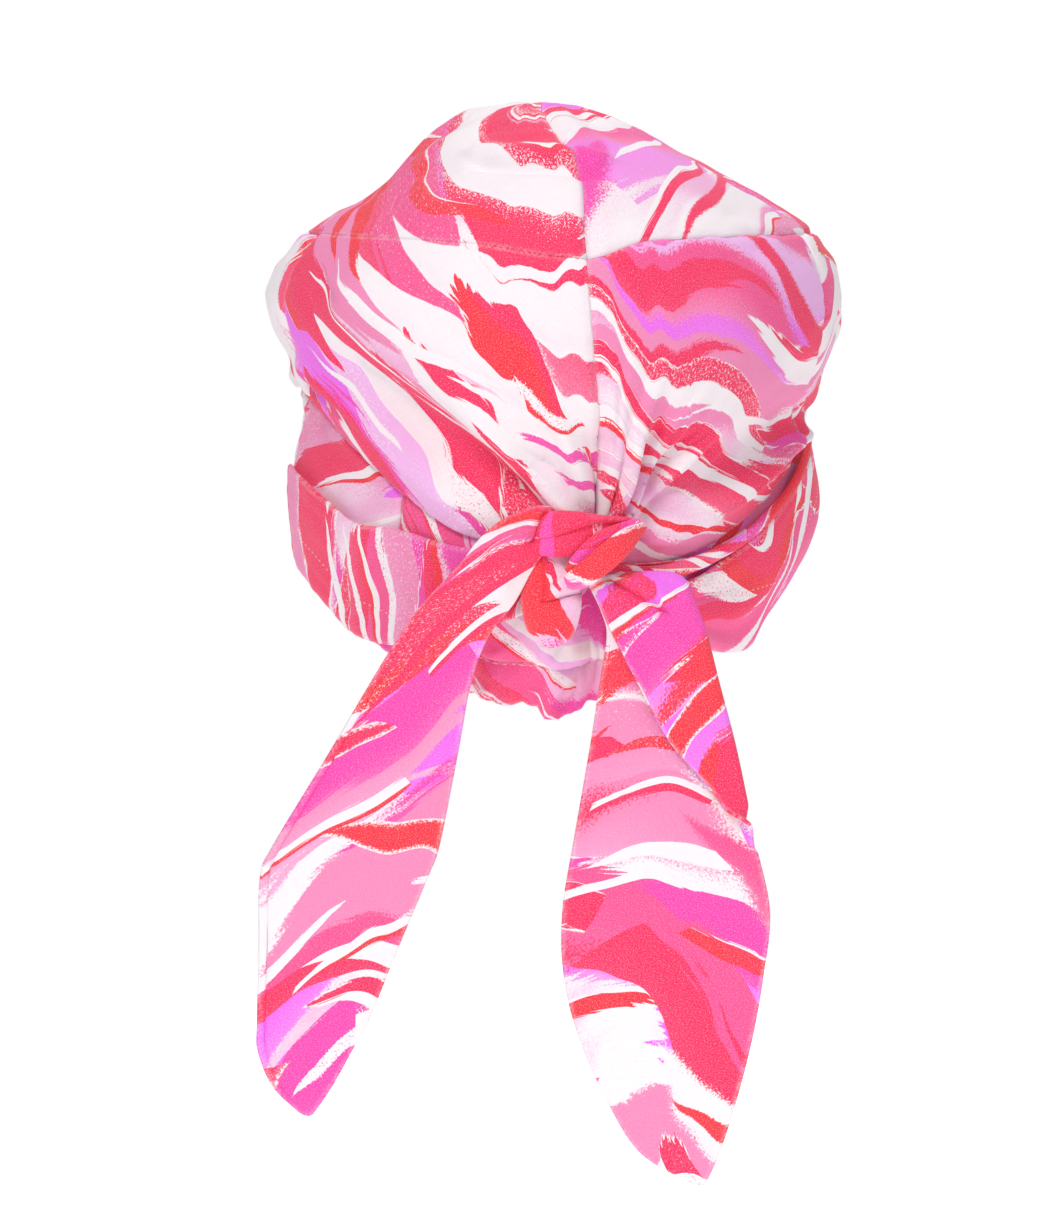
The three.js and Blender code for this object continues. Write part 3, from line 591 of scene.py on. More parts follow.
@dataclass(frozen=True)
class WornForm:
    """The surface that the turban takes on the head, with its folds and gathers."""

    unit: float  # metres for each millimetre of the tables
    knot_azimuth: float = 10.0
    knot_t: float = 0.205

    def ring(self, t: Array) -> Array:
        """Rows of the ring table at heights t, without t itself."""
        values = np.array(RINGS, float)
        return read_smooth(values[:, 0], values[:, 1:], t)

    def smooth(self, azimuth: Array, t: Array) -> Array:
        """Points of the smooth surface, before its folds.

        Args:
            azimuth: Azimuths of the places.
            t: Their heights.

        Returns:
            The points.
        """
        back_z, side_z, front_z, left, right, back, front = np.moveaxis(self.ring(t), -1, 0)
        turn = np.radians(azimuth)
        ahead = -np.cos(turn)
        end_z = np.where(ahead < 0, back_z, front_z)
        return np.stack(
            (
                (right - left) / 2 + (right + left) / 2 * np.sin(turn),
                (front - back) / 2 + (front + back) / 2 * ahead,
                side_z + (end_z - side_z) * ahead * ahead,
            ),
            -1,
        )

    def outward(self, azimuth: Array, t: Array) -> Array:
        """Outward directions, straight up at the top of the crown.

        Args:
            azimuth: Azimuths of the places.
            t: Their heights.

        Returns:
            The directions, at length 1.
        """
        top = smooth_step(t, *UPWARD)[..., None]
        at = np.minimum(t, LAST_NORMAL_T)
        along = self.smooth(azimuth + STEP_DEG, at) - self.smooth(azimuth - STEP_DEG, at)
        up = self.smooth(azimuth, at + STEP_T) - self.smooth(azimuth, at - STEP_T)
        normal = unit_vectors(np.cross(along, up))
        return unit_vectors(normal * (1 - top) + np.array((0, 0, 1.0)) * top)

    def per_degree(self, t: Array) -> Array:
        """Length of one degree of azimuth at heights t."""
        reach = np.maximum(self.ring(t)[..., 3:].sum(-1) / 4, LEAST_REACH)
        return np.radians(reach)

    def gathering(self, azimuth: Array, t: Array) -> Array:
        """How strongly the nape's elastic gathers the cloth, from 0 to 1."""
        beside = 1 - smooth_step(np.abs(azimuth), NAPE_HALF - GATHER_END_DEG, NAPE_HALF)
        return beside * (1 - smooth_step(t, *GATHER_END_T))

    def fold_height(self, azimuth: Array, t: Array) -> Array:
        """Height of the main folds over the smooth surface.

        Args:
            azimuth: Azimuths of the places.
            t: Their heights.

        Returns:
            The height.
        """
        per_degree = self.per_degree(t)
        x, y = azimuth * per_degree, t * CLOTH_HEIGHT
        height = np.zeros_like(per_degree)
        for fold in MAIN_FOLDS:
            start = (fold.azimuth0 * per_degree, fold.t0 * CLOTH_HEIGHT)
            end = (fold.azimuth1 * per_degree, fold.t1 * CLOTH_HEIGHT)
            height += straight_fold(x, y, start, end, fold)
        return height * (1 - smooth_step(t, *TOP_FADE))

    def knot_gathers(self, azimuth: Array, t: Array) -> Array:
        """Height of the gathers that run out over the crown from the knot.

        Args:
            azimuth: Azimuths of the places.
            t: Their heights.

        Returns:
            The height.
        """
        x = (azimuth - self.knot_azimuth) * KNOT_MM_PER_DEG
        y = (t - self.knot_t) * CLOTH_HEIGHT
        reach = np.hypot(x, y)
        angle = np.degrees(np.arctan2(y, x))
        height = np.zeros_like(reach)
        for ray in KNOT_GATHERS:
            share = (reach - ray.start * RAY_START_SHARE) / ray.length
            heading = ray.angle + ray.drift * np.clip(share, 0, 1)
            across = np.radians(angle - heading) * reach
            width = ray.width + ray.flare * reach
            fade = smooth_step(share, *RAY_RISE) * (1 - smooth_step(share, *RAY_FADE))
            height += ray.height * fade * flank(across / width, ray.sharp)
        crinkle = ridges(soft_noise(np.radians(angle) * 11 + reach / 60, reach / 26, 31), 0.8)
        around = smooth_step(reach, *CRINKLE_RISE) * (1 - smooth_step(reach, *CRINKLE_FADE))
        return height + crinkle * around

    def crumple(self, azimuth: Array, t: Array) -> Array:
        """Slight waves of soft cloth that nothing pulls flat."""
        x, y = azimuth * SLACK_MM_PER_DEG, t * CLOTH_HEIGHT
        return sum(wave.at(x, y) for wave in SLACK_WAVES) * (1 - smooth_step(t, *TOP_FADE))

    def folded(self, azimuth: Array, t: Array, lift: Array | float) -> Array:
        """Points at a distance `lift` outside the surface with its main folds."""
        height = lift + self.fold_height(azimuth, t)
        return self.smooth(azimuth, t) + self.outward(azimuth, t) * height[..., None]

    def nape_ripple(self, azimuth: Array, t: Array) -> Array:
        """Height of the gathers that the elastic makes at the nape.

        Args:
            azimuth: Azimuths of the places.
            t: Their heights.

        Returns:
            The height.
        """
        main = MAIN_GATHER * np.cos(azimuth / GATHER_PITCH_DEG * 2 * np.pi)
        creases = ridges(soft_noise(azimuth / 4.2 + 9, t * 11, 21), 0.7)
        finer = ridges(soft_noise(azimuth / 2.2, t * 16, 23), 0.7)
        phase = azimuth / TUBE_PITCH_DEG + 0.35 * soft_noise(azimuth / 7, t * 4, 27)
        tubes = np.abs(np.cos(phase * np.pi)) ** 1.5 - 0.5
        near_hem = 1 - smooth_step(t, 0.01, 0.055)
        small = creases * SMALL_GATHER + finer * FINE_GATHER + tubes * TUBE_HEIGHT * near_hem
        pinch = PINCH_DEPTH * np.exp(-(((t - CASING_TOP) / PINCH_WIDTH_T) ** 2))
        return self.gathering(azimuth, t) * (main + small - pinch)


# ---- Sheets of cloth ---------------------------------------------------------------------------


class Cut(NamedTuple):
    """Where and how a piece is cut from the printed cloth: its turn in degrees and its place."""

    turn: float
    x: float
    y: float


class Hold(Enum):
    """How a sheet of cloth is held."""

    STRETCHED = "stretched"
    GATHERED = "gathered"
    FOLDED = "folded"
    HUNG = "hung"


@dataclass
class ClothGrid:
    """A sheet's middle surface as rows of points, seen from outside with columns to the right."""

    points: Array
    normals: Array | None = None
    flat: Array = field(init=False)
    edge: Array = field(init=False)

    def __post_init__(self) -> None:
        """Works out the sheet's outward directions, flat places and distance from its edges."""
        if self.normals is None:
            self.normals = sheet_normals(self.points)
        run_u, run_v = run_lengths(self.points, 1), run_lengths(self.points, 0)
        from_middle = run_u - run_u[:, [run_u.shape[1] // 2]]
        self.flat = np.stack((from_middle, run_v), -1)
        across = np.minimum(run_u, run_u[:, [-1]] - run_u)
        self.edge = np.minimum(across, np.minimum(run_v, run_v[[-1]] - run_v))

    def at(self, u: Array, v: Array, lift: float) -> tuple[Array, Array]:
        """Points at shares u across and v up the sheet, lifted from it.

        Args:
            u: Shares of the columns, 0 to 1.
            v: Shares of the rows, 0 to 1.
            lift: Distance outside the middle surface, in millimetres.

        Returns:
            The points and the outward directions there.
        """
        rows, columns = self.points.shape[:2]
        x = np.clip(u, 0, 1) * (columns - 1)
        y = np.clip(v, 0, 1) * (rows - 1)
        i = np.minimum(x.astype(int), columns - 2)
        j = np.minimum(y.astype(int), rows - 2)
        fx = (x - i)[..., None]
        fy = (y - j)[..., None]

        def blend(grid: Array) -> Array:
            """Reads a grid between its points.

            Args:
                grid: Values at the sheet's points.

            Returns:
                The values read between its four nearest points.
            """
            low = grid[j, i] * (1 - fx) + grid[j, i + 1] * fx
            high = grid[j + 1, i] * (1 - fx) + grid[j + 1, i + 1] * fx
            return low * (1 - fy) + high * fy

        normals = unit_vectors(blend(self.normals))
        return blend(self.points) + normals * lift, normals


class PatternPiece(NamedTuple):
    """One piece of the sewing pattern, as it lies flat before it is sewn, in millimetres."""

    width: float
    length: float
    share: float  # of that rectangle which the cut shape fills
    wall: float
    hold: Hold
    cut: Cut
    lining: Cut | None = None  # of a second printed layer, sewn to the back

    @property
    def sewn_round(self) -> bool:
        """Whether its edges are sewn to other panels all round."""
        return self.wall == CROWN_WALL and self.hold in (Hold.GATHERED, Hold.STRETCHED)

    @property
    def printed_behind(self) -> bool:
        """Whether print shows behind too: that of a lining, or of the same cloth folded over."""
        return self.lining is not None or self.hold is Hold.FOLDED


# Walls and holds that pieces share.
SLACK, PULLED = (CROWN_WALL, Hold.GATHERED), (CROWN_WALL, Hold.STRETCHED)
TIED, ROLLED = (TIE_WALL, Hold.STRETCHED), (FOLD_WALL, Hold.FOLDED)
KNOTTED, POCKET = (KNOT_WALL, Hold.FOLDED), (TIE_WALL, Hold.FOLDED)
THICK_TAIL, THIN_TAIL = (TIE_WALL, Hold.HUNG), (CROWN_WALL, Hold.HUNG)
PATTERN = {
    "crown_top_left": PatternPiece(271, 121, 0.4, *SLACK, Cut(42, 312, 396)),
    "crown_top_right": PatternPiece(255, 121, 0.43, *SLACK, Cut(-44, 1048, 1036)),
    "crown_back_left": PatternPiece(138, 105, 0.78, *SLACK, Cut(42, 312, 396)),
    "crown_back_right": PatternPiece(115, 112, 0.79, *SLACK, Cut(22, 1592, 1228)),
    "crown_front": PatternPiece(376, 79, 0.79, *SLACK, Cut(28, 440, 492)),
    "side_left": PatternPiece(85, 60, 0.95, *PULLED, Cut(-24, 568, 284)),
    "side_right": PatternPiece(85, 47, 0.86, *PULLED, Cut(-8, 232, 892)),
    "brow_band": PatternPiece(300, 58, 0.81, *PULLED, Cut(2, 820, 640)),
    "nape_panel": PatternPiece(131, 43, 0.77, *SLACK, Cut(50, 1675, 1846.9)),
    "nape_casing": PatternPiece(136, 18, 0.77, *SLACK, Cut(50, 1688, 1836)),
    "tie_left": PatternPiece(153, 38, 0.78, *TIED, Cut(74, 792, 76), Cut(-22, 900, 300)),
    "tie_right": PatternPiece(141, 41, 0.62, *TIED, Cut(-6, 376, 236), Cut(72, 200, 70)),
    "tie_roll_right": PatternPiece(19, 131, 0.67, *ROLLED, Cut(-90, 1176, 636)),
    "knot_core": PatternPiece(37, 28, 0.69, *KNOTTED, Cut(100, 904, 956)),
    "knot_turn": PatternPiece(41, 25, 0.73, *KNOTTED, Cut(30, 360, 1868)),
    "nape_puff": PatternPiece(23, 38, 0.68, *POCKET, Cut(30, 1016, 1228)),
    "tail_left": PatternPiece(52, 228, 0.56, *THICK_TAIL, Cut(-18, 1368, 1676), Cut(18, 800, 330)),
    "tail_right": PatternPiece(65, 215, 0.76, *THIN_TAIL, Cut(20, 888, 396), Cut(28, 1304, 652)),
}


def add_piece(name: str, mesh: bpy.types.Mesh) -> bpy.types.Object:
    """Puts a smooth mesh into the scene as a piece that rides on the turban's one body.

    Args:
        name: The piece's name.
        mesh: Its mesh.

    Returns:
        The piece.
    """
    mesh.polygons.foreach_set("use_smooth", np.ones(len(mesh.polygons), bool))
    piece = bpy.data.objects.new(name, mesh)
    bpy.context.scene.collection.objects.link(piece)
    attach(piece, "root")
    return piece


@dataclass
class ClothPiece:
    """One sewn piece of cloth: its closed mesh, its finish and the part of the frame it stands for."""

    node: str
    slot: str
    pattern: PatternPiece

    @property
    def name(self) -> str:
        """Name of the sheet that stands for the node."""
        return f"{self.node}_cloth"

    @property
    def rim_reach(self) -> float:
        """How far the rounded edge stands out: little where it is sewn to the next piece."""
        return SEWN_RIM if self.pattern.sewn_round else self.pattern.wall * RIM_SHARE

    def on_bolt(self, grid: ClothGrid, cut: Cut) -> Array:
        """Places of the sheet's points on the bolt of printed cloth, in millimetres.

        Args:
            grid: The sheet.
            cut: How it is cut from the bolt.

        Returns:
            Two numbers for each point.
        """
        turn = math.radians(cut.turn)
        spin = np.array(((math.cos(turn), math.sin(turn)), (-math.sin(turn), math.cos(turn))))
        return grid.flat.reshape(-1, 2) @ spin + np.array((cut.x, cut.y))

    def mesh(self, grid: ClothGrid, unit: float) -> bpy.types.Mesh:
        """Makes the closed solid: printed skin, reverse skin and a rounded edge between them.

        Args:
            grid: The sheet's middle surface.
            unit: Metres for each millimetre of the tables.

        Returns:
            The mesh, with the print's places in the map "cut" and each point's distance from the
            sheet's edge in "edge_distance".
        """
        rows, columns = grid.points.shape[:2]
        half_wall = grid.normals * (self.pattern.wall / 2)
        outer, inner = grid.points + half_wall, grid.points - half_wall
        index = np.arange(rows * columns).reshape(rows, columns)
        loop = np.concatenate((index[0, :-1], index[:-1, -1], index[-1, :0:-1], index[:0:-1, 0]))
        flat_points = grid.points.reshape(-1, 3)
        inset = np.concatenate((index[1, :-1], index[:-1, -2], index[-2, :0:-1], index[:0:-1, 1]))
        outward = unit_vectors(flat_points[loop] - flat_points[inset])
        rim = flat_points[loop] + outward * self.rim_reach
        count = rows * columns
        vertices = np.concatenate((outer.reshape(-1, 3), inner.reshape(-1, 3), rim)) * unit
        a, b, c, d = index[:-1, :-1], index[:-1, 1:], index[1:, 1:], index[1:, :-1]
        printed = np.stack((a, b, c, d), -1).reshape(-1, 4)
        reverse = np.stack((a, d, c, b), -1).reshape(-1, 4) + count
        rim_index = 2 * count + np.arange(len(loop))
        following = np.roll(loop, -1)
        rim_next = np.roll(rim_index, -1)
        outer_rim = np.stack((loop, rim_index, rim_next, following), -1)
        inner_rim = np.stack((rim_index, loop + count, following + count, rim_next), -1)
        faces = np.concatenate((printed, reverse, outer_rim, inner_rim))
        skin_of_face = np.repeat((0, 1, 0), (len(printed), len(reverse), 2 * len(loop)))
        mesh = bpy.data.meshes.new(self.name)
        mesh.from_pydata(vertices.tolist(), [], faces.tolist())
        front = self.on_bolt(grid, self.pattern.cut) * unit
        back = self.on_bolt(grid, self.pattern.lining or self.pattern.cut) * unit
        corners = np.empty(len(mesh.loops), int)
        mesh.loops.foreach_get("vertex_index", corners)
        behind = np.repeat(skin_of_face == 1, 4)[:, None]
        front_uv = np.concatenate((front, front, front[loop]))[corners]
        back_uv = np.concatenate((back, back, back[loop]))[corners]
        mesh.uv_layers.new(name="cut").data.foreach_set("uv", np.where(behind, back_uv, front_uv).ravel())
        edge = grid.edge.ravel()
        distances = np.concatenate((edge, edge, edge[loop])) * unit
        mesh.attributes.new("edge_distance", "FLOAT", "POINT").data.foreach_set("value", distances)
        mesh.polygons.foreach_set("material_index", skin_of_face)
        return mesh

    def make(
        self, grid: ClothGrid, unit: float, faces: tuple[bpy.types.Material, bpy.types.Material]
    ) -> bpy.types.Object:
        """Makes the piece, dresses it and hides the part of the frame that it stands for.

        Args:
            grid: The sheet's middle surface.
            unit: Metres for each millimetre of the tables.
            faces: The materials of the cloth's printed face and of its reverse.

        Returns:
            The finished piece.
        """
        mesh = self.mesh(grid, unit)
        mesh.materials.append(faces[0])
        mesh.materials.append(faces[0] if self.pattern.printed_behind else faces[1])
        piece = add_piece(self.name, mesh)
        bpy.ops.object.select_all(action="DESELECT")
        bpy.context.view_layer.objects.active = piece
        piece.select_set(True)
        bpy.ops.object.mode_set(mode="EDIT")
        bpy.ops.mesh.select_all(action="SELECT")
        bpy.ops.mesh.remove_doubles(threshold=MERGE_DISTANCE)
        bpy.ops.object.mode_set(mode="OBJECT")
        piece.select_set(False)
        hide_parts(self.node)
        width, length = self.pattern.width * unit, self.pattern.length * unit
        area = width * length * self.pattern.share
        cloth = sum(face.area for face in mesh.polygons) / 2
        log.info("%s: %d faces, %.2f of its flat area", self.name, len(mesh.polygons), cloth / area)
        return piece


# ---- Shader nodes ------------------------------------------------------------------------------


class Value:
    """A number that varies over a surface, so that shader maths reads as plain expressions."""

    def __init__(self, sketch: "NodeSketch", socket: bpy.types.NodeSocket) -> None:
        """Wraps a socket of the sketch's node tree."""
        self.sketch = sketch
        self.socket = socket

    def _maths(self, operation: str, first: "Value | float", second: "Value | float" = 0.0) -> "Value":
        """Adds one Math node on two values."""
        return self.sketch.read("ShaderNodeMath", {"operation": operation}, {0: first, 1: second})

    def __add__(self, other: "Value | float") -> "Value":
        """This value plus another."""
        return self._maths("ADD", self, other)

    __radd__ = __add__

    def __sub__(self, other: "Value | float") -> "Value":
        """This value less another."""
        return self._maths("SUBTRACT", self, other)

    def __rsub__(self, other: "Value | float") -> "Value":
        """Another value less this one."""
        return self._maths("SUBTRACT", other, self)

    def __mul__(self, other: "Value | float") -> "Value":
        """This value times another."""
        return self._maths("MULTIPLY", self, other)

    __rmul__ = __mul__

    def __abs__(self) -> "Value":
        """This value without its sign."""
        return self._maths("ABSOLUTE", self)

    def at_most(self, level: float) -> "Value":
        """This value, but no more than a level."""
        return self._maths("MINIMUM", self, level)

    def above(self, level: float) -> "Value":
        """1 where this value is above a level, else 0."""
        return self._maths("GREATER_THAN", self, level)

    def sine(self) -> "Value":
        """The sine of this value, in radians."""
        return self._maths("SINE", self)

    def rise(self, low: float, high: float) -> "Value":
        """Rises smoothly from 0 to 1.

        Args:
            low: Where it leaves 0.
            high: Where it reaches 1.

        Returns:
            The risen value.
        """
        settings = {"interpolation_type": "SMOOTHSTEP"}
        values = {"Value": self, "From Min": low, "From Max": high, "To Min": 0.0, "To Max": 1.0}
        return self.sketch.read("ShaderNodeMapRange", settings, values, "Result")


class NodeSketch:
    """A material's node tree, built one node at a time."""

    def __init__(self, name: str) -> None:
        """Starts an empty material.

        Args:
            name: The material's name.
        """
        self.material = bpy.data.materials.new(name)
        self.material.use_nodes = True
        self.tree = self.material.node_tree
        self.tree.nodes.clear()

    def node(self, kind: str, settings: dict | None = None, inputs: dict | None = None) -> bpy.types.Node:
        """Adds a node.

        Args:
            kind: The node's type.
            settings: Its settings, set before its sockets. "ramp" says how a ramp blends its
                colours, and "stops" fills it with (place, colour).
            inputs: Values, colours or links for its sockets, by name or number.

        Returns:
            The new node.
        """
        node = self.tree.nodes.new(kind)
        for key, value in (settings or {}).items():
            if key == "stops":
                elements = node.color_ramp.elements
                while len(elements) < len(value):
                    elements.new(0.5)
                for element, (place, colour) in zip(elements, value):
                    element.position = place
                    element.color = colour
            elif key == "ramp":
                node.color_ramp.interpolation = value
            else:
                setattr(node, key, value)
        for key, value in (inputs or {}).items():
            socket = node.inputs[key]
            if isinstance(value, Value):
                self.tree.links.new(value.socket, socket)
            else:
                socket.default_value = value
        return node

    def value(self, node: bpy.types.Node, output: str | int = 0) -> Value:
        """An output of a node as a value."""
        return Value(self, node.outputs[output])

    def read(
        self, kind: str, settings: dict | None = None, inputs: dict | None = None, output: str | int = 0
    ) -> Value:
        """Adds a node and reads one of its outputs."""
        return self.value(self.node(kind, settings, inputs), output)

    def noise(
        self, place: Value, scale: float, detail: float = 2.0, rough: float = 0.5, output: str = "Fac"
    ) -> Value:
        """Plane noise from 0 to 1 over a place on the cloth."""
        inputs = {"Vector": place, "Scale": scale, "Detail": detail, "Roughness": rough}
        return self.read("ShaderNodeTexNoise", {"noise_dimensions": "2D"}, inputs, output)

    def mix(self, share: Value | float, low: Value | tuple, high: Value | tuple) -> Value:
        """Mixes two colours."""
        settings = {"data_type": "RGBA", "clamp_factor": True}
        return self.read("ShaderNodeMix", settings, {0: share, 6: low, 7: high}, 2)

    def vector(self, operation: str, first: Value | tuple, second: Value | tuple) -> Value:
        """Vector maths on two vectors."""
        return self.read("ShaderNodeVectorMath", {"operation": operation}, {0: first, 1: second})

    def parts(self, vector: Value) -> tuple[Value, Value, Value]:
        """The three numbers of a vector or colour."""
        node = self.node("ShaderNodeSeparateXYZ", None, {0: vector})
        return self.value(node, 0), self.value(node, 1), self.value(node, 2)

    def place_on(self, vector: Value, turn: float, length: float, width: float) -> Value:
        """A place on the cloth turned, and measured in lengths and widths."""
        turned = self.read("ShaderNodeMapping", None, {0: vector, "Rotation": (0, 0, math.radians(turn))})
        return self.read("ShaderNodeMapping", None, {0: turned, "Scale": (1 / length, 1 / width, 1)})

    def bump(self, height: Value, strength: float, depth: float) -> Value:
        """The surface's direction with fine relief, `depth` metres from 0 to 1."""
        inputs = {"Height": height, "Strength": strength, "Distance": depth}
        return self.read("ShaderNodeBump", None, inputs)

    def finish(self, kind: str, inputs: dict) -> bpy.types.Material:
        """Adds the surface's shader, puts it out and returns the finished material."""
        self.node("ShaderNodeOutputMaterial", None, {"Surface": self.read(kind, None, inputs)})
        return self.material


def linear(red: int, green: int, blue: int) -> tuple[float, float, float, float]:
    """Turns a colour given from 0 to 255 into light.

    Args:
        red: Red, as the eye sees it.
        green: Green.
        blue: Blue.

    Returns:
        The light values that shaders use, and 1 for solid.
    """
    channels = (red / 255, green / 255, blue / 255)
    light = (c / 12.92 if c <= 0.04045 else ((c + 0.055) / 1.055) ** 2.4 for c in channels)
    return (*light, 1.0)


class Dye(Enum):
    """The inks of the print."""

    WHITE = linear(253, 248, 252)
    CREAM = linear(252, 228, 226)
    BLUSH = linear(249, 184, 226)
    ROSE = linear(248, 140, 190)
    CRIMSON = linear(253, 40, 98)
    CERISE = linear(253, 82, 150)
    RED = linear(253, 46, 62)
    MAGENTA = linear(252, 68, 180)
    ORCHID = linear(246, 108, 244)
    LILAC = linear(248, 190, 246)


@dataclass(frozen=True)
class BrushLayer:
    """One layer of brush strokes: slender, bent, tapering at both ends, with dry edges."""

    dyes: tuple[Dye, ...]
    second: Dye  # of the stripe down one side of some strokes
    turn: float  # degrees
    length: float  # of a stroke's room, in metres
    width: float  # and across it
    shown: float  # share of the strokes that are there
    fullness: float  # half-width of a stroke as a share of its room
    bend: float
    crisp: float
    halo: float  # width of a bare line left round each stroke
    fade: float  # how far a stroke pales towards one side
    seed: tuple[float, float]
    lean: float = 0.35  # how far strokes slant, the most
    taper: float = 3.0  # how fast they narrow towards their ends
    bristles: tuple[float, float] = (1.6, 13.0)  # marks of the brush to a room, along and across

    def paint(self, sketch: NodeSketch, place: Value, grain: Value, below: Value) -> Value:
        """Paints the layer over what is below it.

        Args:
            sketch: The material's nodes.
            place: The warped place on the cloth, in metres.
            grain: Fine grain from 0 to 1.
            below: The colour so far.

        Returns:
            The colour with the layer's strokes on it.
        """
        room = sketch.place_on(place, self.turn, self.length, self.width)
        room = sketch.vector("ADD", room, (*self.seed, 0))
        cell_kind = {"voronoi_dimensions": "2D", "feature": "F1"}
        cell_inputs = {"Vector": room, "Scale": 1.0, "Randomness": 0.8}
        cells = sketch.node("ShaderNodeTexVoronoi", cell_kind, cell_inputs)
        chance, side, dry = sketch.parts(sketch.value(cells, "Color"))
        along, across, _ = sketch.parts(sketch.vector("SUBTRACT", room, sketch.value(cells, "Position")))
        bowed = across + along * (chance - 0.5) * self.lean + along * along * (side - 0.5) * self.bend
        ratio = bowed * (1 / self.fullness) * (1.35 - dry * 0.7)
        reach = abs(ratio) + along * along * self.taper
        bristle = sketch.noise(sketch.vector("MULTIPLY", room, (*self.bristles, 1)), 1.0, 3.0, 0.6)
        ragged = (bristle - 0.5) * (dry * 0.9 + 0.15)
        firm = ((1.0 - reach + ragged) * (dry * dry * self.crisp * 2 + 0.8)).at_most(0.5)
        speckled = (chance * 5.1 + dry * 9.7).sine().rise(0.2, 1.0) * 3.2
        inside = firm + (grain - 0.5) * (speckled + 0.9)
        here = (chance * 7.31 + side * 3.7).sine().above(1 - 2 * self.shown)
        mask = inside.rise(0.0, 0.16) * here
        stops = [(i / len(self.dyes), dye.value) for i, dye in enumerate(self.dyes)]
        colour = sketch.read("ShaderNodeValToRGB", {"ramp": "CONSTANT", "stops": stops}, {0: side})
        stripe = (ratio + ragged + chance * 1.2 - 0.75).rise(0.0, 0.05) * dry.above(0.45)
        colour = sketch.mix(stripe, colour, self.second.value)
        pale = (ratio * -1.0 + 0.2 + (grain - 0.5) * 1.2).rise(0.1, 1.3) * (chance * self.fade)
        colour = sketch.mix(pale, colour, Dye.BLUSH.value)
        if self.halo > 0:
            ring = (1.0 + self.halo - reach + ragged * 0.5).rise(0.0, 0.05) * here * side.above(0.35)
            below = sketch.mix(ring, below, Dye.WHITE.value)
        return sketch.mix(mask, below, colour)


BRUSHWORK = (
    BrushLayer(
        (Dye.LILAC, Dye.BLUSH, Dye.ROSE, Dye.ORCHID), Dye.ORCHID,
        turn=8, length=0.160, width=0.060, shown=0.85,
        fullness=0.6, bend=0.6, crisp=1.0, halo=0.0, fade=0.9, seed=(3.1, 1.7),
    ),
    BrushLayer(
        (Dye.ORCHID, Dye.MAGENTA, Dye.ROSE, Dye.ORCHID), Dye.MAGENTA,
        turn=-14, length=0.130, width=0.046, shown=0.75,
        fullness=0.5, bend=0.7, crisp=3.0, halo=0.0, fade=0.8, seed=(11.3, 5.9),
    ),
    BrushLayer(
        (Dye.CRIMSON, Dye.CERISE, Dye.CRIMSON, Dye.CRIMSON), Dye.CERISE,
        turn=10, length=0.140, width=0.044, shown=0.66,
        fullness=0.46, bend=0.7, crisp=6.0, halo=0.06, fade=0.5, seed=(7.7, 23.1),
    ),
    BrushLayer(
        (Dye.CRIMSON, Dye.WHITE, Dye.MAGENTA, Dye.WHITE), Dye.CRIMSON,
        turn=-4, length=0.125, width=0.030, shown=0.52,
        fullness=0.36, bend=0.7, crisp=6.0, halo=0.06, fade=0.2, seed=(17.9, 2.3),
    ),
    BrushLayer(
        (Dye.RED, Dye.CRIMSON, Dye.WHITE, Dye.RED), Dye.CRIMSON,
        turn=16, length=0.085, width=0.020, shown=0.3,
        fullness=0.36, bend=0.7, crisp=9.0, halo=0.08, fade=0.0, seed=(29.3, 13.7),
    ),
    BrushLayer(
        (Dye.WHITE, Dye.RED, Dye.WHITE, Dye.CRIMSON), Dye.WHITE,
        turn=-12, length=0.070, width=0.010, shown=0.2,
        fullness=0.26, bend=0.7, crisp=10.0, halo=0.0, fade=0.0, seed=(5.3, 31.1),
    ),
)


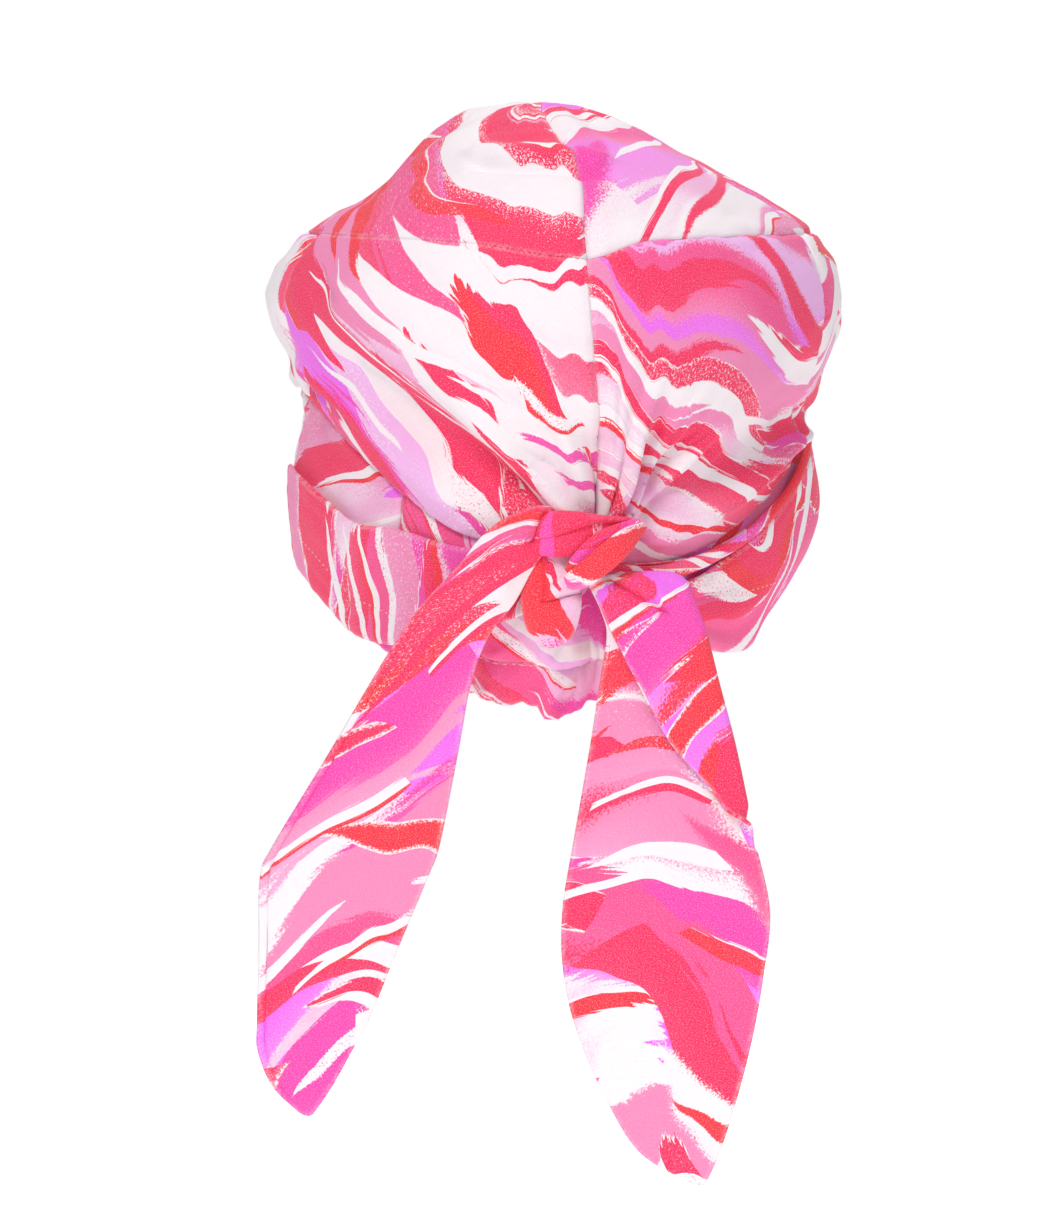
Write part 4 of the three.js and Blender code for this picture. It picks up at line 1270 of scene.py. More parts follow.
@dataclass(frozen=True)
class PrintedCotton:
    """Plain-weave cotton printed on one side: the printed face and its paler reverse."""

    roughness: float = 0.86
    sheen: float = 0.12
    thread_pitch: float = 0.00045
    thread_run: float = 1 / 90  # length over which a thread varies
    flow: tuple[float, float, float] = (4.2, 0.170, 0.0)  # slow bends of the print: scale, reach, seed
    waver: tuple[float, float, float] = (26.0, 0.013, 4.0)  # and small ones
    grain: float = 2600.0
    coarse_grain: float = 1250.0
    blush: tuple[float, float] = (0.42, 0.7)  # levels of the wash between white and blush
    rubbing: tuple[float, float] = (0.0002, 0.0016)  # distances from an edge where print wears off
    printed: bpy.types.Material = field(init=False)
    reverse: bpy.types.Material = field(init=False)

    def __post_init__(self) -> None:
        """Builds the two faces' materials."""
        object.__setattr__(self, "printed", self.face("printed_cotton", 0.0))
        object.__setattr__(self, "reverse", self.face("printed_cotton_reverse", 0.55))

    def face(self, name: str, fading: float) -> bpy.types.Material:
        """Builds one face of the cloth.

        Args:
            name: The material's name.
            fading: How far the print fades towards bare cotton.

        Returns:
            The material.
        """
        sketch = NodeSketch(name)
        cut = sketch.read("ShaderNodeUVMap", {"uv_map": "cut"})
        sway = self.sway(sketch, cut, *self.flow)
        sway = self.sway(sketch, sway, *self.waver)
        coarse = sketch.noise(cut, self.coarse_grain, 1.0, 0.5)
        grain = sketch.noise(cut, self.grain, 2.0, 0.7) * 0.55 + coarse * 0.45
        wash = sketch.noise(sway, 14.0, 3.0, 0.6)
        blushed = (wash + (grain - 0.5) * 0.3).rise(*self.blush)
        colour = sketch.mix(blushed, Dye.WHITE.value, Dye.BLUSH.value)
        for layer in BRUSHWORK:
            colour = layer.paint(sketch, sway, grain, colour)
        fleck = sketch.noise(cut, self.grain, 1.0, 0.5)
        colour = sketch.mix((fleck - 0.52) * 1.1, colour, Dye.CREAM.value)
        if fading > 0:
            colour = sketch.mix(fading, colour, Dye.WHITE.value)
        across, along = 1 / self.thread_pitch, 1 / self.thread_run
        warp = sketch.noise(sketch.vector("MULTIPLY", cut, (across, along, 1)), 1.0, 1.0)
        weft = sketch.noise(sketch.vector("MULTIPLY", cut, (along, across, 1)), 1.0, 1.0)
        threads = warp + weft
        edge = sketch.read("ShaderNodeAttribute", {"attribute_name": "edge_distance"}, None, "Fac")
        rubbed = 1.0 - edge.rise(*self.rubbing)
        colour = sketch.mix(rubbed * (threads - 0.75) * 0.5, colour, Dye.WHITE.value)
        # Painted shade: the colour turns towards a dusky pink where the threads lie low, in the hollows of the
        # weave's bump.
        colour = sketch.mix((1.0 - threads * 0.5) * 0.16, colour, linear(214, 120, 150))
        inputs = {
            "Base Color": colour,
            "Roughness": self.roughness + threads * 0.05,
            "Sheen Weight": self.sheen,
            "Sheen Roughness": 0.5,
            "Specular IOR Level": 0.25,
            "Normal": sketch.bump(threads, 0.35, 0.0002),
        }
        return sketch.finish("ShaderNodeBsdfPrincipled", inputs)

    @staticmethod
    def sway(sketch: NodeSketch, place: Value, scale: float, reach: float, seed: float) -> Value:
        """Bends the print's flow by slow noise.

        Args:
            sketch: The material's nodes.
            place: Places on the cloth.
            scale: Bends to a metre.
            reach: Twice the farthest that a place moves, in metres.
            seed: Which bends they are.

        Returns:
            The places, moved.
        """
        shifted = sketch.vector("ADD", place, (seed, seed, 0))
        drift = sketch.noise(shifted, scale, 1.0, 0.4, "Color")
        centred = sketch.vector("SUBTRACT", drift, (0.5, 0.5, 0.5))
        return sketch.vector("ADD", place, sketch.vector("MULTIPLY", centred, (reach, reach, 0)))


@dataclass(frozen=True)
class SewingThread:
    """Cream cotton thread with a twisted, slightly fuzzy surface."""

    material: bpy.types.Material = field(init=False)

    def __post_init__(self) -> None:
        """Builds the thread's material."""
        sketch = NodeSketch("cream_sewing_thread")
        place = sketch.read("ShaderNodeTexCoord", output="Object")
        fuzz = {"Vector": place, "Scale": 2400.0, "Detail": 2.0}
        fibres = sketch.read("ShaderNodeTexNoise", None, fuzz)
        inputs = {
            "Base Color": sketch.mix(fibres, linear(236, 196, 176), linear(252, 226, 208)),
            "Roughness": 0.7 + fibres * 0.2,
            "Normal": sketch.bump(fibres, 0.5, 0.0001),
        }
        object.__setattr__(self, "material", sketch.finish("ShaderNodeBsdfPrincipled", inputs))


# ---- Panels ------------------------------------------------------------------------------------


class EdgeFinish(Enum):
    """How a panel's edge lies: height of the roll beside it, its width, and drop at the edge."""

    SEAM = (0.35, 4.0, 0.9)
    TUCKED = (2.2, 7.0, 0.3)
    HEMMED = (0.3, 3.0, 0.2)
    FLAT = (0.0, 4.0, 0.0)  # the cloth runs on, or lies hidden


def edge_lift(distance: Array, finish: EdgeFinish) -> Array:
    """Lift of the cloth beside an edge.

    Args:
        distance: Distances from the edge, in millimetres.
        finish: How the edge lies.

    Returns:
        The lift at each.
    """
    roll, width, drop = finish.value
    beside = np.exp(-(((distance - width) / width) ** 2))
    return roll * beside - drop * np.exp(-((distance / EDGE_DROP_WIDTH) ** 2))


def seam_pucker(distance: Array, run: Array, seed: int) -> Array:
    """Small puckers that the stitches of a seam pull into the cloth beside it."""
    waves = soft_noise(run / PUCKER_LENGTH, run * 0 + seed, seed)
    return PUCKER_HEIGHT * waves * np.exp(-((distance / PUCKER_REACH) ** 2))


@dataclass(frozen=True)
class Panel:
    """A panel of the worn surface between two azimuths and two heights."""

    name: str
    left: Line
    right: Line
    low: Line
    high: Line
    columns: int
    rows: int
    finishes: tuple[EdgeFinish, EdgeFinish, EdgeFinish, EdgeFinish]  # left, right, low, high
    seed: int
    tucked_in: float = 0.0  # how far above its upper edge the panel runs on, under the crown

    def grid(self, form: WornForm) -> ClothGrid:
        """Lays the panel on the worn surface with its folds, gathers, seams and puckers.

        Args:
            form: The worn surface.

        Returns:
            The panel's middle surface.
        """
        u, v = unit_square(self.columns, self.rows)
        first_t = np.full_like(u, 0.3)  # any height does, to begin with
        rough_left, rough_right = self.left(first_t), self.right(first_t)
        rough_azimuth = rough_left + (rough_right - rough_left) * u
        rough_t = self.low(rough_azimuth) + (self.high(rough_azimuth) - self.low(rough_azimuth)) * v
        left = self.left(rough_t) + SIDE_GAP_DEG
        right = self.right(rough_t) - SIDE_GAP_DEG
        azimuth = left + (right - left) * u
        inset = SEAM_GAP / 2 / CLOTH_HEIGHT
        low = self.low(azimuth) + inset
        edge = self.high(azimuth) - inset
        high = edge + self.tucked_in / CLOTH_HEIGHT
        t = low + (high - low) * v
        per_degree = form.per_degree(t)
        up, round_head = t * CLOTH_HEIGHT, azimuth * per_degree
        distances = (
            (azimuth - left) * per_degree,
            (right - azimuth) * per_degree,
            (t - low) * CLOTH_HEIGHT,
            (high - t) * CLOTH_HEIGHT,
        )
        lift = np.zeros_like(t)
        runs = (up, up, round_head, round_head)
        for number, (distance, run, finish) in enumerate(zip(distances, runs, self.finishes)):
            lift += edge_lift(distance, finish)
            if finish is not EdgeFinish.FLAT:
                lift += seam_pucker(distance, run, self.seed * 4 + number)
        if self.tucked_in > 0:
            lift -= UNDERLAP_DROP * smooth_step((t - edge) * CLOTH_HEIGHT, *UNDERLAP_BEND)
        wrapped = (azimuth + 180) % 360 - 180
        lift += form.nape_ripple(wrapped, t) + form.knot_gathers(wrapped, t)
        lift += form.crumple(wrapped, t) * smooth_step(np.minimum.reduce(distances), 0, SLACK_START)
        return ClothGrid(form.folded(wrapped, t, lift))


def level(value: float) -> Line:
    """A line on the worn surface that keeps one value."""
    return lambda at: np.full_like(np.asarray(at, float), value)


def edge_line(rows: Sequence[EdgeRow], above: float = 0.0) -> Line:
    """A line of the worn surface that may be read past 180 degrees, raised by `above`."""
    return lambda azimuth: read_edge(rows, (np.asarray(azimuth, float) + 180) % 360 - 180) + above


def back_seam(t: Array) -> Array:
    """Azimuth of the middle seam at heights t."""
    return read_edge(BACK_SEAM, t)


# ---- Stitches ----------------------------------------------------------------------------------


class StitchPoint(NamedTuple):
    """A place on a sheet that a row of stitches passes, as shares across and up the sheet."""

    u: float
    v: float


NAPE_STITCHES = table(StitchPoint, (0.01, 0.93), (0.99, 0.93))
BROW_STITCHES = table(StitchPoint, (0.01, 0.3), (0.99, 0.3))
SIDE_STITCHES = table(StitchPoint, (0.04, 0.27), (0.98, 0.27))
TIE_LEFT_STITCHES = table(StitchPoint, (0.02, 0.44), (0.25, 0.4), (0.5, 0.34), (0.68, 0.24))
TIE_RIGHT_STITCHES = table(
    StitchPoint,
    (0.98, 0.56), (0.85, 0.5), (0.7, 0.38), (0.52, 0.54), (0.4, 0.6), (0.22, 0.68),
)


@dataclass(frozen=True)
class StitchRows:
    """Rows of machine stitches, made from one stitch that is copied along each row."""

    name: str
    slot: str
    thread: SewingThread
    unit: float
    length: float = 2.7  # of one stitch
    gap: float = 0.14  # between two stitches
    thickness: float = 0.36
    taper: float = 0.55  # share of the thickness that is lost at the needle holes
    sink: float = 0.25  # how far the ends lie deeper than the middle
    samples: int = 2000  # points of a row's path

    def one_stitch(self) -> tuple[Array, list[list[int]]]:
        """Models a single stitch: a thread bulging between two needle holes.

        Returns:
            Its points in millimetres, long in X and standing up in Z, and its faces.
        """
        bpy.ops.object.select_all(action="DESELECT")
        bpy.ops.mesh.primitive_cylinder_add(vertices=6, radius=0.5, depth=1, end_fill_type="NGON")
        stitch = bpy.context.object
        bpy.ops.object.mode_set(mode="EDIT")
        bpy.ops.mesh.select_all(action="SELECT")
        bpy.ops.mesh.subdivide(number_cuts=1)
        bpy.ops.transform.rotate(value=math.pi / 2, orient_axis="Y", center_override=(0, 0, 0))
        bpy.ops.object.mode_set(mode="OBJECT")
        points = np.array([vertex.co for vertex in stitch.data.vertices])
        faces = [list(face.vertices) for face in stitch.data.polygons]
        bpy.data.meshes.remove(stitch.data)
        ends = np.abs(points[:, 0]) * 2
        points[:, 1:] *= (self.thickness * (1 - self.taper * ends**4))[:, None]
        points[:, 2] -= self.sink * ends**2
        points[:, 0] *= self.length
        return points, faces

    def make(self, rows: Sequence[tuple[ClothGrid, Sequence[StitchPoint], float]]) -> bpy.types.Object:
        """Sews every row and joins them into one piece.

        Args:
            rows: For each row the sheet it is sewn on, the places it passes and its lift.

        Returns:
            The dressed piece.
        """
        points, faces = self.one_stitch()
        places, all_faces = [], []
        for grid, path, lift in rows:
            u, v = np.moveaxis(read_path(path, np.linspace(0, 1, self.samples)), -1, 0)
            track, normals = grid.at(u, v, lift)
            run = run_lengths(track, 0)
            for start in np.arange(0, run[-1] - self.length, self.length + self.gap):
                first, last = (np.searchsorted(run, start + offset) for offset in (0, self.length))
                middle = (first + last) // 2
                along = unit_vectors(track[last] - track[first])
                across = unit_vectors(np.cross(normals[middle], along))
                frame_axes = np.stack((along, across, np.cross(along, across)))
                first_point = len(points) * len(places)
                all_faces += [[first_point + point for point in face] for face in faces]
                places.append(track[middle] + points @ frame_axes)
        mesh = bpy.data.meshes.new(self.name)
        mesh.from_pydata((np.concatenate(places) * self.unit).tolist(), [], all_faces)
        mesh.materials.append(self.thread.material)
        log.info("%s: %d stitches, %d faces", self.name, len(places), len(mesh.polygons))
        return add_piece(self.name, mesh)


# ---- Crown and band ----------------------------------------------------------------------------


@dataclass
class Group:
    """A group of pieces that are built and dressed alike."""

    form: WornForm
    cotton: PrintedCotton
    thread: SewingThread
    slot: str = "tie_cotton"
    stitches: str = "tie_stitches"  # name of the piece that holds the group's rows of stitches

    def grids(self) -> dict[str, ClothGrid]:
        """The group's sheets of cloth, by the names of the parts they stand for."""
        raise NotImplementedError

    def paths(self) -> dict[str, tuple[StitchPoint, ...]]:
        """Paths of the rows of stitches that show, by the names of the sheets they are sewn on."""
        return {}

    def build(self) -> list[bpy.types.Object]:
        """Builds and dresses the group's pieces.

        Returns:
            The pieces, with their rows of stitches last.
        """
        grids = self.grids()
        faces = (self.cotton.printed, self.cotton.reverse)
        pieces = []
        for name, grid in grids.items():
            pieces.append(ClothPiece(name, self.slot, PATTERN[name]).make(grid, self.form.unit, faces))
        sewn = [(grids[name], path, PATTERN[name].wall / 2) for name, path in self.paths().items()]
        if sewn:
            stitches = StitchRows(self.stitches, self.slot, self.thread, self.form.unit)
            pieces.append(stitches.make(sewn))
        return pieces


@dataclass
class Crown(Group):
    """The puffed crown: two halves of the top, two panels behind and one in front."""

    slot: str = "crown_cotton"
    columns: int = 170  # of half the top
    rows: int = 84
    back_share: float = 1 / 3.1  # of the columns, behind the side seam
    seam_fade: tuple[float, float] = (0.93, 0.995)  # heights t where the middle seam dies out
    crest: tuple[float, float] = (0.9, 0.97)  # and where directions change to the smooth form's

    def top_half(self, side: int) -> ClothGrid:
        """Half of the crown's top, from the middle seam over the side to the middle of the brow.

        Args:
            side: -1 for the wearer's left half, 1 for the right.

        Returns:
            The half's middle surface.
        """
        u, v = unit_square(self.columns, self.rows)
        share = u if side > 0 else 1 - u
        behind_share = share / self.back_share
        ahead_share = (share - self.back_share) / (1 - self.back_share)

        def azimuth_at(t: Array) -> Array:
            """Finds each column's azimuth at its heights.

            Args:
                t: Heights of the points.

            Returns:
                The azimuths.
            """
            seam = back_seam(t)
            behind = seam + (side * SIDE_SEAM - seam) * behind_share
            ahead = side * (SIDE_SEAM + (180 - SIDE_SEAM) * ahead_share)
            return np.where(share < self.back_share, behind, ahead)

        lowest = read_edge(CROSS_SEAM, azimuth_at(read_edge(CROSS_SEAM, np.zeros_like(u))))
        low = lowest + SEAM_GAP / 2 / CLOTH_HEIGHT
        t = low + (1 - low) * v
        azimuth = azimuth_at(t)
        per_degree = self.form.per_degree(t)
        seam_distance = np.minimum(np.abs(azimuth - back_seam(t)), 180 - np.abs(azimuth)) * per_degree
        low_distance = (t - low) * CLOTH_HEIGHT
        lift = edge_lift(seam_distance, EdgeFinish.SEAM)
        lift += seam_pucker(seam_distance, t * CLOTH_HEIGHT, 41)
        if side > 0:
            lift += edge_lift(low_distance, EdgeFinish.SEAM)
            lift += seam_pucker(low_distance, azimuth * per_degree, 43)
        lift *= 1 - smooth_step(t, *self.seam_fade)
        slack = smooth_step(np.minimum(seam_distance, low_distance), 0, SLACK_START)
        points = self.form.folded(azimuth, t, lift + self.form.crumple(azimuth, t) * slack)
        points[..., 0] += side * SEAM_GAP / 2
        top = smooth_step(t, *self.crest)[..., None]
        normals = sheet_normals(points) * (1 - top) + self.form.outward(azimuth, t) * top
        grid = ClothGrid(points, unit_vectors(normals))
        reach = (1 - t) * CLOTH_HEIGHT * 0.5 + per_degree * 180 / np.pi * 0.5
        turn = np.radians(azimuth)
        grid.flat = np.stack((reach * np.sin(turn), -reach * np.cos(turn)), -1)
        return grid

    @staticmethod
    def run_on(upper: ClothGrid, lower: ClothGrid) -> None:
        """Lays the upper sheet on the bolt so that the print runs on from the lower sheet's top.

        Args:
            upper: The sheet above the seam, whose right edge is the middle seam.
            lower: The sheet below the seam, with the same right edge.
        """
        from_seam = run_lengths(upper.points[:, ::-1], 1)[:, ::-1]
        below = run_lengths(lower.points[-1, ::-1], 0)
        start = np.interp(from_seam[0], below, lower.flat[-1, ::-1, 1])
        climbed = start + run_lengths(upper.points, 0)
        upper.flat = np.stack((lower.flat[-1, -1, 0] - from_seam, climbed), -1)

    def grids(self) -> dict[str, ClothGrid]:
        """Lays the top's halves and the three panels below the cross seam.

        Returns:
            The sheets, by the names of the parts they stand for.
        """
        overhang, cross = edge_line(CROWN_EDGE, OVERHANG_GAP_T), edge_line(CROSS_SEAM)
        left, right, round_left = level(-SIDE_SEAM), level(SIDE_SEAM), level(360 - SIDE_SEAM)
        sides = (EdgeFinish.SEAM, EdgeFinish.SEAM, EdgeFinish.TUCKED)
        closed, running_on = (*sides, EdgeFinish.SEAM), (*sides, EdgeFinish.FLAT)
        panels = (
            Panel("crown_back_left", left, back_seam, overhang, cross, 124, 96, running_on, 2),
            Panel("crown_back_right", back_seam, right, overhang, cross, 104, 100, closed, 3),
            Panel("crown_front", right, round_left, overhang, cross, 200, 64, closed, 4),
        )
        grids = {"crown_top_left": self.top_half(-1), "crown_top_right": self.top_half(1)}
        grids.update({panel.name: panel.grid(self.form) for panel in panels})
        self.run_on(grids["crown_top_left"], grids["crown_back_left"])
        return grids


@dataclass
class Band(Group):
    """The band round the head opening: two sides, the brow, the gathered nape and its casing."""

    slot: str = "band_cotton"
    stitches: str = "band_stitches"

    @staticmethod
    def casing(azimuth: Array) -> Array:
        """Height t of the stitches that close the nape's casing over its elastic."""
        return CASING_TOP + edge_line(HEM)(azimuth) / 2

    def grids(self) -> dict[str, ClothGrid]:
        """Lays the five panels below the crown's lower edge.

        Returns:
            The sheets, by the names of the parts they stand for.
        """
        edge, hem = edge_line(CROWN_EDGE), edge_line(HEM)
        side_left, side_right, round_left = level(-TIE_SEAM), level(TIE_SEAM), level(360 - TIE_SEAM)
        nape_left, nape_right = level(-NAPE_HALF), level(NAPE_HALF)
        seam, hemmed, flat = EdgeFinish.SEAM, EdgeFinish.HEMMED, EdgeFinish.FLAT
        side, nape = (seam, seam, hemmed, flat), (seam, seam, seam, flat)
        cased = (seam, seam, hemmed, seam)
        panels = (
            Panel("side_left", side_left, nape_left, hem, edge, 64, 56, side, 5, UNDERLAP),
            Panel("side_right", nape_right, side_right, hem, edge, 64, 40, side, 6, UNDERLAP),
            Panel("brow_band", side_right, round_left, hem, edge, 170, 40, side, 7, UNDERLAP),
            Panel("nape_panel", nape_left, nape_right, self.casing, edge, 150, 36, nape, 8, UNDERLAP),
            Panel("nape_casing", nape_left, nape_right, hem, self.casing, 150, 24, cased, 9),
        )
        return {panel.name: panel.grid(self.form) for panel in panels}

    def paths(self) -> dict[str, tuple[StitchPoint, ...]]:
        """The rows over the nape's elastic and along the hems of the brow and the right side."""
        return {"nape_casing": NAPE_STITCHES, "brow_band": BROW_STITCHES, "side_right": SIDE_STITCHES}


# ---- Ties, knot and tails ----------------------------------------------------------------------


@dataclass
class Ties(Group):
    """The two ties on the head and the rolled edge over the right one."""

    lift: float = CROWN_WALL / 2 + LAYER_GAP + TIE_WALL / 2
    root_share: float = 0.09  # of a tie, where it rises from its seam
    length: float = 130.0  # from seam to knot
    clearance: float = 0.35  # least room between a tie and the gathers that it lies on
    blend: float = 0.4  # height over which a tie comes to rest on them
    edge_calm: float = 8.0  # distance from a tie's edges over which its folds begin
    hem: tuple[float, float, float] = (0.35, 3.0, 2.4)  # roll along the edges: height, place, width
    roll_off_tie: tuple[float, float] = (14, 26)  # azimuths between which the roll leaves the tie
    roll_start: float = -130  # degrees round the roll, as all of these
    roll_winding: float = 500
    roll_twist: float = 140
    roll_wander: float = 14
    roll_outer: float = 0.93  # radius of the roll's outer turn, as a share
    roll_tightening: float = 0.42  # and how much less it is within

    def tie(self, rows: Sequence[TieRow], columns: int, tall: int, seed: int) -> ClothGrid:
        """Lays a tie from its root to the knot, with long soft folds that meet there.

        Args:
            rows: Its edges, from its root to the knot.
            columns: Squares along it.
            tall: Squares up it.
            seed: Of its folds.

        Returns:
            The tie's middle surface.
        """
        u, v = unit_square(columns, tall)
        rightward = rows[0].azimuth < rows[-1].azimuth
        share = u if rightward else 1 - u
        azimuth, low, high = np.moveaxis(read_path(rows, share), -1, 0)
        t = low + (high - low) * v
        run = share * self.length
        bridging = self.form.gathering(azimuth, t) * (GATHER_HEIGHT + SEAM_GAP)
        long_fold = soft_noise(v * 4.2 + 3, share * 1.2, seed) * (0.5 + 0.9 * share)
        fine_fold = soft_noise(v * 11, share * 3, seed + 1) * (0.15 + 0.35 * share)
        edge = np.minimum(v, 1 - v) * (high - low) * CLOTH_HEIGHT
        hem_height, hem_place, hem_width = self.hem
        lift = self.lift + bridging + (long_fold + fine_fold) * smooth_step(edge, 0, self.edge_calm)
        lift += hem_height * np.exp(-(((edge - hem_place) / hem_width) ** 2))
        lift += seam_pucker(edge, run, seed + 2) * 0.8
        lift -= LAYER_GAP * (1 - smooth_step(share, 0, self.root_share))
        slack = self.form.crumple(azimuth, t) * smooth_step(run, 0, SLACK_START)
        below = self.form.nape_ripple(azimuth, t) + slack
        resting = below + (CROWN_WALL + TIE_WALL) / 2 + self.clearance
        return ClothGrid(self.form.folded(azimuth, t, soft_greater(lift, resting, self.blend)))

    def roll(self) -> ClothGrid:
        """Lays the rolled edge along the crown's edge.

        Returns:
            Its middle surface, wound once and a half round itself.
        """
        turn_share, share = unit_square(30, 150)
        azimuth, t, radius = np.moveaxis(read_path(ROLL, share), -1, 0)
        over_tie = (self.lift + TIE_WALL / 2) * (1 - smooth_step(azimuth, *self.roll_off_tie))
        centre = self.form.folded(azimuth, t, CROWN_WALL / 2 + LAYER_GAP + radius + over_tie)
        out = self.form.outward(azimuth, t)
        ahead = unit_vectors(np.gradient(centre, axis=0))
        across = unit_vectors(np.cross(ahead, out))
        wander = self.roll_wander * soft_noise(share * 9, share * 0, 71)
        wound = self.roll_start - self.roll_winding * turn_share
        angle = np.radians(wound + self.roll_twist * share + wander)
        shrink = self.roll_outer - self.roll_tightening * turn_share
        swell = 1 + 0.07 * soft_noise(share * 12, turn_share * 2, 73)
        reach = (radius * shrink * swell)[..., None]
        sideways = across * np.cos(angle)[..., None] * reach
        points = centre + sideways + out * np.sin(angle)[..., None] * reach
        return ClothGrid(points[::-1])

    def grids(self) -> dict[str, ClothGrid]:
        """Lays the two ties and the roll.

        Returns:
            The sheets, by the names of the parts they stand for.
        """
        return {
            "tie_left": self.tie(TIE_LEFT, 150, 46, 61),
            "tie_right": self.tie(TIE_RIGHT, 130, 40, 65),
            "tie_roll_right": self.roll(),
        }

    def paths(self) -> dict[str, tuple[StitchPoint, ...]]:
        """One row along each tie."""
        return {"tie_left": TIE_LEFT_STITCHES, "tie_right": TIE_RIGHT_STITCHES}


@dataclass
class Knot(Group):
    """The knot low on the back: the inner strand, the broad turn over it and the pocket below."""

    pull: float = 0.18  # height of the creases that the knot's pull makes
    bulge: float = 3.4  # how far the pocket's edges lie nearer the head than its middle

    def folded_band(
        self, rows: Sequence[BandRow], section: Sequence[SectionPoint], columns: int, tall: int
    ) -> ClothGrid:
        """Sweeps a folded section along a band.

        Args:
            rows: Places along the band, from the wearer's left to the right.
            section: The section from its lower edge, through its folds, to its upper edge.
            columns: Squares along the band.
            tall: Squares round the section.

        Returns:
            The band's middle surface.
        """
        u, v = unit_square(columns, tall)
        x, y, z, size, slant = np.moveaxis(read_path(rows, u), -1, 0)
        across, out, drift = np.moveaxis(read_path(section, v), -1, 0)
        across = across + drift * smooth_step(u, 0.1, 0.7)
        middle = np.stack((x, y, z), -1)
        along = unit_vectors(np.gradient(middle, axis=1))
        lean = np.radians(slant)
        rise = np.stack((-np.sin(lean), 0 * lean, np.cos(lean)), -1)
        outward = unit_vectors(np.cross(along, rise))
        lift = out * size + self.pull * soft_noise(u * 5, v * 9, 83)
        return ClothGrid(middle + rise * (across * size)[..., None] + outward * lift[..., None])

    def puff(self) -> ClothGrid:
        """Shapes the pocket of cloth that droops out of the knot.

        Returns:
            Its middle surface.
        """
        u, v = unit_square(56, 64)
        x, y, z, half, _, _, _ = np.moveaxis(read_path(PUFF, 1 - v), -1, 0)
        side = 2 * u - 1
        x = x + side * half
        y = y + self.bulge * side * side * np.abs(side) - crease_height(x, z, PUFF_CREASES)
        return ClothGrid(np.stack((x, y, z), -1))

    def grids(self) -> dict[str, ClothGrid]:
        """Lays the knot's three pieces.

        Returns:
            The sheets, by the names of the parts they stand for.
        """
        return {
            "knot_core": self.folded_band(KNOT_STRAND, STRAND_SECTION, 64, 90),
            "knot_turn": self.folded_band(KNOT_TURN, TURN_SECTION, 70, 84),
            "nape_puff": self.puff(),
        }


